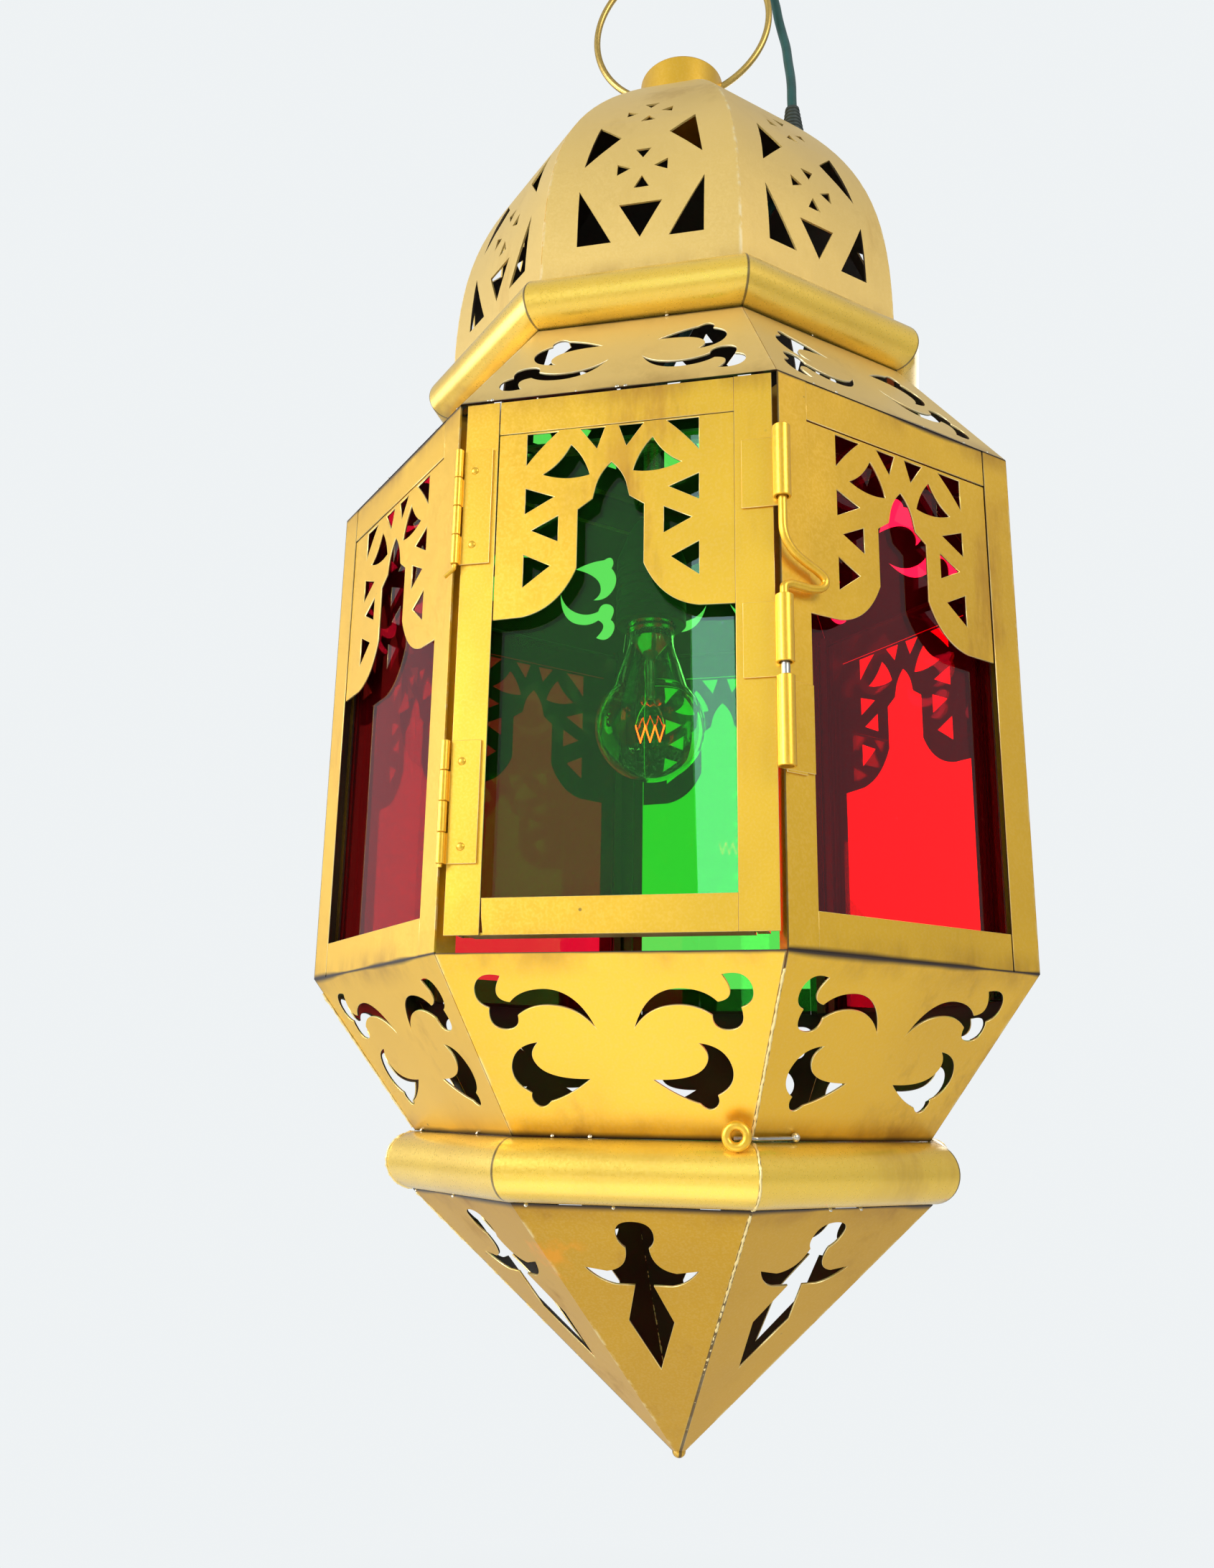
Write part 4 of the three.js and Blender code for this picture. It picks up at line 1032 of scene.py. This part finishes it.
def make_holder(plastic):
    bore = CAP_RADIUS + GAP
    rim, rib = 0.8, 0.6
    low, wide, shoulder = HOLDER_BOTTOM, HOLDER_RADIUS, NIPPLE_RADIUS + GAP
    ribs = [
        point for z in range(206, 236, 6) for point in (
            (wide, z), (wide - rib, z + 0.8), (wide - rib, z + 1.6), (wide, z + 2.4),
        )
    ]
    profile = [
        (bore, low + rim), (bore + rim, low), (wide - rim, low), (wide, low + rim), *ribs,
        (wide, 238), (18.6, 240.5), (12.5, 256), (9.4, HOLDER_TOP - 1), (8.6, HOLDER_TOP),
        (shoulder, HOLDER_TOP), (shoulder, HOLDER_TOP - 10), (CORD_BORE, HOLDER_TOP - 10),
        (CORD_BORE, CAP_TOP + GAP), (bore, CAP_TOP + GAP),
    ]
    shown(lathe(profile, 64, LAMP), "holder", "lampholder", plastic, 35)


def make_bulb(cap_metal, clear_glass):
    """Round bulb blown thin, and its screw cap with the contact on top."""
    def wall(inset):
        radius = BULB_RADIUS - inset
        globe = arc(-90, 43.2, 28, (0, BULB_HEIGHT), radius)
        neck = [
            (16.9, 176), (15.4, 180), (14.0, 184), (BULB_NECK + 0.4, 188),
            (BULB_NECK, CAP_BOTTOM - GAP),
        ]
        return [*globe, *[(r - inset, z) for r, z in neck]]

    glass = lathe([*wall(0), *reversed(wall(BULB_WALL))], 72, LAMP)
    shown(glass, "bulb", "bulb_glass", clear_glass, 60)
    inner = CAP_RADIUS - SHEET
    thread = threaded(CAP_RADIUS, inner, CAP_BOTTOM, CAP_TOP - 4, 3.6, 0.9)
    crown = lathe([
        (inner, CAP_TOP - 5), (CAP_RADIUS - 0.5, CAP_TOP - 4), (6, CAP_TOP - 1.5),
        (4, CAP_TOP - 1.2), (3.4, CAP_TOP), (0, CAP_TOP), (0, CAP_TOP - 5),
    ], 40, LAMP)
    shown(merged(thread, crown), "screw_cap", "bulb_cap", cap_metal, 40)


def make_filament(glow):
    """Coiled wire in six zigzag legs between two leads on the bulb's glass stem."""
    foot, head, span, coil_radius = 186, 158, 8, 0.65
    x, y = LAMP
    stem = lathe([
        (0, head), (1.8, head), (2.4, head + 1), (2.4, foot - 6), (4, foot - 3),
        (BULB_NECK - BULB_WALL - GAP, foot + 6), (0, foot + 6),
    ], 32, LAMP)
    leads = [
        tube([
            (x + 1.2 * side, y, head + 6), (x + 2 * side, y, head - 1),
            (x + 6 * side, y, BULB_HEIGHT + 8), (x + span * side, y, BULB_HEIGHT + 1),
        ], 0.4, 1, resolution=2) for side in (-1, 1)
    ]
    coil = []
    turns, per_turn, legs = 70, 9, 6
    for i in range(turns * per_turn + 1):
        t = i / (turns * per_turn)
        angle = 2 * pi * i / per_turn
        swing = abs((t * legs) % 2 - 1) * 9 - 8
        coil.append((x - span + 2 * span * t, y + coil_radius * cos(angle),
                     BULB_HEIGHT + swing + coil_radius * sin(angle)))
    shown(merged(stem, *leads), "bulb_stem", None, glow["stem"], 40)
    shown(tube(coil, 0.16, resolution=1), "filament", "bulb_filament", glow["wire"], 60)


# Flex and its strain relief

def make_cord(sheath):
    route = smooth_route(CORD_ROUTE, 2.5)
    route.reverse()
    mesh = wire_along(route, CORD_RADIUS, resolution=6)
    mesh.materials.append(sheath)
    smooth_shaded(mesh, 50)
    cord = linked("flex", mesh)
    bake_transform(cord)
    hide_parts("mains_cord")


def make_gland(plastic):
    """Flange on the dome's sheet and a ribbed boot up the flex."""
    radius, height = dome_at(GLAND_ARC)
    ahead, above = dome_at(GLAND_ARC + 1)
    up = Vector((0, radius - ahead, above - height)).normalized()
    axes = panel_axes((0, -radius * MM, BASE + height * MM), Vector((1, 0, 0)), up)
    place = side_turn(2) @ axes
    flange = lathe([
        (CORD_BORE, GAP), (12.5, GAP), (12.5, GAP + 1.6), (11.4, GAP + 2.6), (7, GAP + 3),
        (CORD_BORE, GAP + 3),
    ], 48, (GLAND_SIDEWAYS, 0), base=0)
    foot, head = 486, 516
    ribs = []
    for i in range(6):
        r, z = 6.4 - 0.38 * i, 499 + 2.7 * i
        ribs.extend([(r, z), (r - 0.7, z + 0.5), (r - 0.7, z + 1.3), (r - 0.1, z + 1.8)])
    boot = lathe([(CORD_BORE, foot), (6.4, foot), *ribs, (4.1, head), (CORD_BORE, head)], 40,
                 GLAND_EXIT)
    out = place.to_3x3() @ Vector((0, 0, 1))
    boot = trimmed(boot, [(place.translation + out * GAP * MM, -out)])
    shown(merged(placed(flange, place), boot), "flex_gland", "cord_gland", plastic, 35)


# Nodes

class Wiring:
    """Short forms for the nodes of one tree."""

    def __init__(self, tree):
        self.tree = tree

    def node(self, kind, settings=None, **inputs):
        node = self.tree.nodes.new(kind)
        for key, value in (settings or {}).items():
            setattr(node, key, value)
        for key, value in inputs.items():
            self.feed(node.inputs[key.replace("_", " ")], value)
        return node

    def feed(self, socket, value):
        if isinstance(value, bpy.types.NodeSocket):
            self.tree.links.new(value, socket)
        else:
            socket.default_value = value

    def math(self, operation, a, b=None, clamp=False):
        node = self.node("ShaderNodeMath", {"operation": operation, "use_clamp": clamp})
        self.feed(node.inputs[0], a)
        if b is not None:
            self.feed(node.inputs[1], b)
        return node.outputs[0]

    def times(self, a, b, clamp=False):
        return self.math("MULTIPLY", a, b, clamp)

    def plus(self, a, b):
        return self.math("ADD", a, b)

    def larger(self, a, b):
        return self.math("MAXIMUM", a, b)

    def vectors(self, operation, a, b=None, output="Vector"):
        node = self.node("ShaderNodeVectorMath", {"operation": operation})
        self.feed(node.inputs[0], a)
        if b is not None:
            self.feed(node.inputs[1], b)
        return node.outputs[output]

    def place(self):
        """Where a point lies on the object."""
        return self.node("ShaderNodeTexCoord").outputs["Object"]

    def noise(self, where, scale, detail=2.0, rough=0.5):
        return self.node("ShaderNodeTexNoise", Vector=where, Scale=scale, Detail=detail,
                         Roughness=rough).outputs["Fac"]

    def dots(self, where, scale, low, high):
        """Small round dots, 1 at their middles."""
        cells = self.node("ShaderNodeTexVoronoi", Vector=where, Scale=scale)
        return self.ramp(cells.outputs["Distance"], low, high)

    def ramp(self, value, low, high, start=0.0, end=1.0):
        return self.node(
            "ShaderNodeMapRange", {"interpolation_type": "SMOOTHSTEP"}, Value=value,
            From_Min=low, From_Max=high, To_Min=start, To_Max=end,
        ).outputs["Result"]

    def mix(self, factor, a, b):
        node = self.node("ShaderNodeMix", {"data_type": "RGBA"})
        for index, value in ((0, factor), (6, a), (7, b)):
            self.feed(node.inputs[index], value)
        return node.outputs[2]

    def stretched(self, scale):
        """Object coordinates, stretched along an axis."""
        return self.node("ShaderNodeMapping", Vector=self.place(), Scale=scale).outputs["Vector"]

    def background_mix(self, factor, lit, seen, end):
        """Feeds a lit and a plainly seen shader, mixed by a factor, to the tree's end."""
        mix = self.node("ShaderNodeMixShader", Fac=factor)
        for socket, shader in zip(mix.inputs[1:], (lit, seen)):
            self.feed(socket, shader.outputs[0])
        self.node(end, Surface=mix.outputs[0])

    def seen(self):
        """1 for rays from the camera, also through glass, and 0 for light on the lantern."""
        rays = self.node("ShaderNodeLightPath").outputs
        return self.larger(rays["Is Camera Ray"], rays["Is Transmission Ray"])


# Stage, light and world

BACKGROUND = (0.86, 0.89, 0.905, 1)
AMBIENT = (0.93, 0.96, 1.0, 1)
AMBIENT_STRENGTH = 0.44
FLOOR_COLOUR = (0.74, 0.745, 0.74, 1)
FLOOR_BELOW = 0.62
LIGHTS_AIM = 0.15


def cleared(owner):
    owner.use_nodes = True
    owner.node_tree.nodes.clear()
    return Wiring(owner.node_tree)


def make_stage():
    """Round pale floor that fades into the background away from the lantern."""
    bpy.ops.mesh.primitive_circle_add(vertices=96, radius=9, fill_type="NGON",
                                      location=(0, 0, BASE - FLOOR_BELOW))
    floor = bpy.context.object
    floor.name = "floor"
    material = bpy.data.materials.new("pale_floor")
    wire = cleared(material)
    matt = wire.node("ShaderNodeBsdfDiffuse", Color=FLOOR_COLOUR)
    white = wire.node("ShaderNodeEmission", Color=BACKGROUND)
    fade = wire.ramp(wire.vectors("LENGTH", wire.place(), output="Value"), 0.35, 1.25)
    wire.background_mix(wire.times(fade, wire.seen()), matt, white, "ShaderNodeOutputMaterial")
    floor.data.materials.append(material)


def make_world():
    world_light = bpy.data.worlds.new("studio")
    bpy.context.scene.world = world_light
    wire = cleared(world_light)
    ambient = wire.node("ShaderNodeBackground", Color=AMBIENT, Strength=AMBIENT_STRENGTH)
    plain = wire.node("ShaderNodeBackground", Color=BACKGROUND)
    wire.background_mix(wire.seen(), ambient, plain, "ShaderNodeOutputWorld")


def area_lamp(name, place, size, power, colour=(1, 1, 1), height=None):
    """Round lamp, or a rectangle if it has a height, in metres and aimed at the body."""
    data = bpy.data.lights.new(name, "AREA")
    data.shape = "RECTANGLE" if height else "DISK"
    data.size = size
    if height:
        data.size_y = height
    data.energy = power
    data.color = colour
    lamp = linked(name, data)
    lamp.location = Vector(place) + Vector((0, 0, BASE))
    lamp.rotation_mode = "QUATERNION"
    aim = Vector((0, 0, BASE + LIGHTS_AIM)) - lamp.location
    lamp.rotation_quaternion = aim.to_track_quat("-Z", "Y")


def make_lights():
    bpy.context.scene.view_settings.view_transform = "Standard"
    area_lamp("window_front", (-1.9, -2.1, 0.95), 1.3, 54, (1, 0.985, 0.96))
    area_lamp("window_left", (-2.4, -0.4, 0.5), 1.5, 22, (0.93, 0.97, 1))
    area_lamp("window_right", (1.8, -1.5, 1.35), 1.2, 27, (1, 0.95, 0.84))
    area_lamp("sky_behind", (0.6, 2.4, 0.9), 1.6, 14)
    area_lamp("floor_bounce", (-0.08, -0.36, -0.45), 0.4, 0.3)
    area_lamp("pale_strip", (-0.245, -2.16, 0.77), 0.08, 1.6, (0.55, 0.9, 1), 1.3)


# Materials

# Paler copy of the gold paint for the skirt and dome: painted sheen of pale light from above on the
# same gold paint.
PAINTED_SHEEN_TONE = (0.88, 0.62, 0.18, 1), (0.46, 0.28, 0.06, 1), (0.97, 0.87, 0.58, 1)
SEAM_TONE = (0.96, 0.77, 0.34, 1), (0.62, 0.40, 0.10, 1)
RING_TONE = (0.60, 0.41, 0.09, 1), (0.2, 0.1, 0.02, 1)
DITCH_TONE = (0.035, 0.018, 0.008, 1)
SPECK_TONE = (0.16, 0.09, 0.03, 1)
# Bare, sooty metal inside the lantern, made darker as painted shade of its closed inside.
SOOT_AND_SHADE_TONES = (0.075, 0.042, 0.016, 1), (0.028, 0.015, 0.008, 1)
# Colour and place of a painted orange reflection on the cone's left face.
ORANGE_REFLECTION_TONE = (0.90, 0.36, 0.008, 1)
ORANGE_REFLECTION_PLACE = world((-37, -98, -120.5))


def new_group(name, inputs, outputs):
    """Empty shader group with named float or colour inputs and outputs."""
    group = bpy.data.node_groups.new(name, "ShaderNodeTree")
    for label, value in inputs:
        kind = "NodeSocketColor" if isinstance(value, tuple) else "NodeSocketFloat"
        socket = group.interface.new_socket(label, in_out="INPUT", socket_type=kind)
        socket.default_value = value
    for label in outputs:
        kind = "NodeSocketColor" if label == "Color" else "NodeSocketFloat"
        group.interface.new_socket(label, in_out="OUTPUT", socket_type=kind)
    given = group.nodes.new("NodeGroupInput").outputs
    return group, Wiring(group), given, group.nodes.new("NodeGroupOutput").inputs


def fold_group():
    """Masks along the corners of the octagon and along the joints between its storeys."""
    group, wire, given, made = new_group("fold_lines", [("Width", 0.002)],
                                         ["Corner", "Joint", "Seam"])
    x, y, z = wire.node("ShaderNodeSeparateXYZ", Vector=wire.place()).outputs
    angle = wire.plus(wire.math("ARCTAN2", y, x), 4 * pi)
    cells = wire.math("DIVIDE", angle, 2 * HALF_SIDE)
    off = wire.math("ABSOLUTE", wire.math("SUBTRACT", wire.math("FRACT", cells), 0.5))
    radius = wire.math("SQRT", wire.plus(wire.times(x, x), wire.times(y, y)))
    distance = wire.times(wire.times(off, 2 * HALF_SIDE), radius)

    def line(away):
        return wire.ramp(wire.math("DIVIDE", away, given["Width"]), 1.0, 0.0)

    corner = line(distance)
    joint = None
    for level in (0, FRUSTUM_END, LOWER_ROLL_END, BODY_TOP, SKIRT_END, DOME_START):
        away = wire.math("ABSOLUTE", wire.math("SUBTRACT", z, BASE + level * MM))
        joint = wire.larger(joint, line(away)) if joint else line(away)
    odd = wire.math("MODULO", wire.math("FLOOR", cells), 2.0)
    wire.feed(made["Corner"], corner)
    wire.feed(made["Seam"], wire.times(corner, wire.math("SUBTRACT", 1.0, odd)))
    wire.feed(made["Joint"], joint)
    return group


def paint_group(folds):
    """Sprayed gold paint on thin sheet: mottling, brown smears, specks, folds and cut edges paler
    with wear and painted highlight, darker streaky bands at the joints, and inner faces of bare,
    sooty metal darkened with painted shade.
    """
    group, wire, given, made = new_group("gold_spray", [
        ("Gold", (0.93, 0.545, 0.026, 1)), ("Shade", (0.36, 0.155, 0.008, 1)),
        # The Worn colour is paler paint, partly from wear and partly painted highlight.
        ("Worn", (0.98, 0.84, 0.42, 1)), ("Smear", 0.4), ("Wear", 0.0), ("Bare Inside", 0.0),
        ("Roughness", 0.36), ("Seams", 0.0), ("Corners", 0.0),
    ], ["Color", "Roughness", "Height"])

    def fold(width, output):
        return wire.node("ShaderNodeGroup", {"node_tree": folds}, Width=width).outputs[output]

    coordinates = wire.node("ShaderNodeTexCoord").outputs
    where = coordinates["Object"]
    # Inner faces turn to bare, sooty metal, darkened further as painted shade of the closed lantern's
    # inside.
    outwards = wire.vectors("NORMALIZE", wire.vectors("MULTIPLY", where, (1, 1, 0)))
    facing = wire.vectors("DOT_PRODUCT", outwards, coordinates["Normal"], "Value")
    inside = wire.times(wire.ramp(facing, -0.05, -0.2), given["Bare Inside"])
    cloud = wire.noise(where, 9, 3)
    grain = wire.noise(where, 900, 2)
    ripple = wire.noise(where, 60, 2)
    streak = wire.noise(wire.stretched((28, 28, 7)), 1, 5, 0.65)
    smear = wire.times(wire.ramp(streak, 0.52, 0.72), given["Smear"])
    patch = wire.times(smear, wire.ramp(cloud, 0.44, 0.62))
    speck = wire.times(wire.dots(where, 75, 0.07, 0.03),
                       wire.ramp(wire.noise(where, 22), 0.58, 0.66))
    uneven = wire.ramp(wire.noise(where, 11, 3), 0.4, 0.62, 0.0008, 0.0030)
    # Paler corner folds and cut edges: partly wear, partly painted highlight where the edges catch
    # the light.
    broken = wire.ramp(wire.noise(where, 75, 4, 0.7), 0.45, 0.62)
    rubbed_corner_highlight = wire.times(wire.times(fold(0.0014, "Corner"), broken), given["Wear"])
    cut = wire.node("ShaderNodeAttribute", {"attribute_name": "cut_edge"}).outputs["Fac"]
    wear_and_highlight = wire.larger(rubbed_corner_highlight, wire.times(cut, wire.ramp(ripple, 0.3, 0.7, 0.3, 0.9)))
    # Darker streaky band within about 12 mm of the joints between the storeys.
    joint_darkening = wire.times(wire.times(fold(0.012, "Joint"), wire.ramp(streak, 0.35, 0.7)),
                       given["Wear"])
    gap = wire.times(fold(uneven, "Joint"), given["Wear"])
    ditch = wire.larger(
        wire.times(wire.ramp(fold(0.001, "Seam"), 0.0, 0.4), given["Seams"]),
        wire.times(wire.ramp(fold(0.001, "Corner"), 0.1, 0.6), given["Corners"]),
    )
    tone = wire.mix(wire.ramp(cloud, 0.3, 0.75, 0.0, 0.2), given["Gold"], given["Shade"])
    for mask, colour in (
        (wire.times(wire.ramp(grain, 0.4, 0.7), 0.07), given["Worn"]),
        # The paler colour on folds and cut edges is partly painted highlight.
        (wire.times(patch, 0.8), given["Shade"]), (wear_and_highlight, given["Worn"]), (joint_darkening, given["Shade"]),
        (wire.larger(wire.times(gap, 1.8, clamp=True), ditch), DITCH_TONE),
        (wire.times(speck, 0.7), SPECK_TONE),
        # Dark tones on inner faces: bare, sooty metal and painted shade.
        (inside, wire.mix(wire.ramp(cloud, 0.35, 0.7), *SOOT_AND_SHADE_TONES)),
    ):
        tone = wire.mix(mask, tone, colour)
    rough = wire.plus(given["Roughness"], wire.times(patch, 0.18))
    rough = wire.plus(rough, wire.ramp(grain, 0.3, 0.7, -0.03, 0.05))
    rough = wire.plus(rough, wire.times(inside, 0.25))
    height = wire.plus(wire.times(grain, 0.03), wire.times(ripple, 0.6))
    height = wire.plus(height, wire.times(wire.noise(where, 15, 2), 4.0))
    for label, value in (("Color", tone), ("Roughness", rough), ("Height", height)):
        wire.feed(made[label], value)
    return group


def new_material(name, colour=(0.8, 0.8, 0.8), **settings):
    material = bpy.data.materials.new(name)
    material.use_nodes = True
    surface = material.node_tree.nodes["Principled BSDF"]
    for key, value in {"Base_Color": (*colour, 1), **settings}.items():
        surface.inputs[key.replace("_", " ")].default_value = value
    return material, Wiring(material.node_tree), surface


def finished_surface(wire, surface, colour, rough, height, strength, distance):
    bump = wire.node("ShaderNodeBump", Height=height, Strength=strength, Distance=distance)
    for label, value in (("Base Color", colour), ("Roughness", rough), ("Normal", bump.outputs[0])):
        wire.feed(surface.inputs[label], value)


def gold_material(name, spray, metallic=0.66, coat=0.5, coat_rough=0.36, bump=0.5, orange_reflection=False,
                  **paint):
    """Sprayed gold with its own values of the paint, and a painted orange reflection patch where it
    is asked for.
    """
    material, wire, surface = new_material(name, Metallic=metallic, Coat_Weight=coat,
                                           Coat_Roughness=coat_rough)
    sprayed = wire.node("ShaderNodeGroup", {"node_tree": spray}, **paint).outputs
    colour = sprayed["Color"]
    # Painted orange reflection: a ragged orange patch round one point of the cone.
    if orange_reflection:
        where = wire.place()
        ragged = wire.ramp(wire.noise(where, 90, 3), 0.3, 0.7, -0.006, 0.006)
        away = wire.plus(wire.vectors("DISTANCE", where, ORANGE_REFLECTION_PLACE, "Value"), ragged)
        colour = wire.mix(wire.ramp(away, 0.014, 0.001, 0.0, 0.75), colour, ORANGE_REFLECTION_TONE)
    finished_surface(wire, surface, colour, sprayed["Roughness"], sprayed["Height"], bump, 0.0004)
    return material


def glass_material(name, colour, clear=0.985):
    """Smooth coloured window glass with a slight draw in its surface and a few smudges."""
    material, wire, surface = new_material(name, colour, IOR=1.45, Transmission_Weight=clear,
                                           Specular_IOR_Level=0.3)
    where = wire.place()
    draw = wire.noise(wire.stretched((9, 9, 3)), 1, 1)
    smudge = wire.ramp(wire.noise(where, 18, 4), 0.6, 0.75, 0.0, 0.06)
    dust = wire.times(wire.dots(where, 110, 0.09, 0.05),
                      wire.ramp(wire.noise(where, 31), 0.56, 0.62))
    pale = tuple(0.5 + 0.5 * value for value in colour)
    tint = wire.mix(wire.times(dust, 0.5), (*colour, 1), (*pale, 1))
    finished_surface(wire, surface, tint, smudge, draw, 0.04, 0.01)
    return material


def grained_material(name, colour, dark, scale, rough, metallic, bump=0.15, **settings):
    """Plain finish with a fine grain, darker patches and a varying gloss."""
    material, wire, surface = new_material(name, colour, Metallic=metallic, **settings)
    where = wire.place()
    patch = wire.ramp(wire.noise(where, scale * 0.1, 3), 0.35, 0.75, 0.0, 0.6)
    grain = wire.noise(where, scale, 2)
    tone = wire.mix(patch, (*colour, 1), (*dark, 1))
    gloss = wire.ramp(grain, 0.3, 0.7, rough - 0.05, rough + 0.08)
    finished_surface(wire, surface, tone, gloss, grain, bump, 0.0002)
    return material


def make_materials():
    spray = paint_group(fold_group())
    sheet = {"Wear": 0.6, "Bare_Inside": 1.0}
    looks = {
        "gold": gold_material("gold_paint", spray, Smear=0.85, Seams=0.8, **sheet),
        # Rolls: a brighter copy of the same gold paint as painted highlight, with their own gloss and
        # less wear.
        "roll": gold_material("rolled_gold_paint_painted_highlight", spray, 0.55, 1.0, 0.28, 0.12,
                              Gold=(1.0, 0.67, 0.065, 1), Wear=0.15, Bare_Inside=1.0,
                              Roughness=0.30, Corners=0.8),
        # Cone: a darker copy of the same gold paint as painted shade, with less coat and a painted
        # orange reflection patch.
        "painted_shade": gold_material("gold_paint_painted_shade", spray, coat=0.25, orange_reflection=True,
                              Gold=(0.68, 0.375, 0.010, 1), Smear=0.9, Seams=0.8, **sheet),
        "ring": gold_material("aged_gold_wire", spray, 0.8, bump=0.12, Gold=RING_TONE[0],
                              Shade=RING_TONE[1], Smear=0.9),
        "seam": gold_material("worn_gold_paint", spray, 0.5, bump=0.12, Gold=SEAM_TONE[0],
                              Shade=SEAM_TONE[1], Smear=0.6, Roughness=0.40),
        "wire": gold_material("gold_fittings", spray, bump=0.12, Roughness=0.34),
        # Skirt and dome: a paler copy of the same gold paint, as painted sheen.
        "pale": gold_material("pale_gold_paint", spray, 0.6, Gold=PAINTED_SHEEN_TONE[0],
                              Shade=PAINTED_SHEEN_TONE[1], Worn=PAINTED_SHEEN_TONE[2], Smear=0.7, Roughness=0.46,
                              **sheet),
        "steel": grained_material("bare_steel", (0.58, 0.58, 0.56), (0.32, 0.31, 0.3), 700,
                                  0.32, 1.0),
        "cap": grained_material("bulb_cap_metal", (0.75, 0.74, 0.72), (0.5, 0.48, 0.44), 900,
                                0.28, 1.0, 0.08),
        "plastic": grained_material("dark_plastic", (0.035, 0.05, 0.045), (0.02, 0.028, 0.026),
                                    1200, 0.45, 0.0),
        "sheath": grained_material("cord_sheath", (0.012, 0.075, 0.068), (0.008, 0.045, 0.04),
                                   800, 0.38, 0.0, 0.1, Coat_Weight=0.1),
        "solder": grained_material("solder", (0.82, 0.78, 0.66), (0.5, 0.42, 0.25), 1500, 0.3,
                                   0.9, 0.3),
        "red": glass_material("red_glass", (0.93, 0.006, 0.035)),
        "green": glass_material("green_glass", (0.13, 0.87, 0.11)),
        "clear": glass_material("clear_glass", (0.98, 0.99, 0.985), 1.0),
    }
    stem = new_material("bulb_stem_glass", (0.9, 0.92, 0.9), IOR=1.45, Transmission_Weight=0.9,
                        Roughness=0.05)[0]
    hot = new_material("filament_wire", (1.0, 0.45, 0.1), Roughness=0.5, Emission_Strength=70.0,
                       Emission_Color=(1.0, 0.008, 0.003, 1))[0]
    looks["glow"] = {"stem": stem, "wire": hot}
    return looks


def paint_panes(looks):
    for side in range(SIDES):
        pane = frame["nodes"]["door_pane" if side == 0 else f"wall_pane_{side}"]
        glass = looks["red" if side % 2 else "green"]
        if pane.material_slots:
            pane.material_slots[0].material = glass
        else:
            pane.data.materials.append(glass)


looks = make_materials()
make_camera()
make_cord(looks["sheath"])
make_walls(looks["gold"])
make_door(looks["gold"])
make_storeys(looks["gold"], looks["pale"])
# The cone takes the darker copy of the gold, which is painted shade.
make_cone(looks["painted_shade"])
# The rolls take the brighter copy of the gold, which is painted highlight.
make_roll("upper_roll", SKIRT_END, DOME_START, looks["roll"])
make_roll("lower_roll", LOWER_ROLL_END, FRUSTUM_END, looks["roll"])
# The dome takes the paler copy of the gold, which is painted sheen.
make_dome(looks["pale"])
make_knob(looks["wire"])
make_hanger(looks["ring"], looks["steel"], looks["plastic"])
for hinge in HINGES:
    make_hinge(hinge, looks["wire"])
make_bolt_work(looks["wire"])
make_bolt(looks["wire"], looks["steel"])
make_eye(looks["wire"], looks["steel"], looks["solder"])
make_lamp(looks["steel"], looks["plastic"], looks["cap"], looks["clear"], looks["glow"])
make_gland(looks["plastic"])
make_solder(looks["solder"], looks["seam"], looks["wire"])
paint_panes(looks)
make_stage()
make_world()
make_lights()
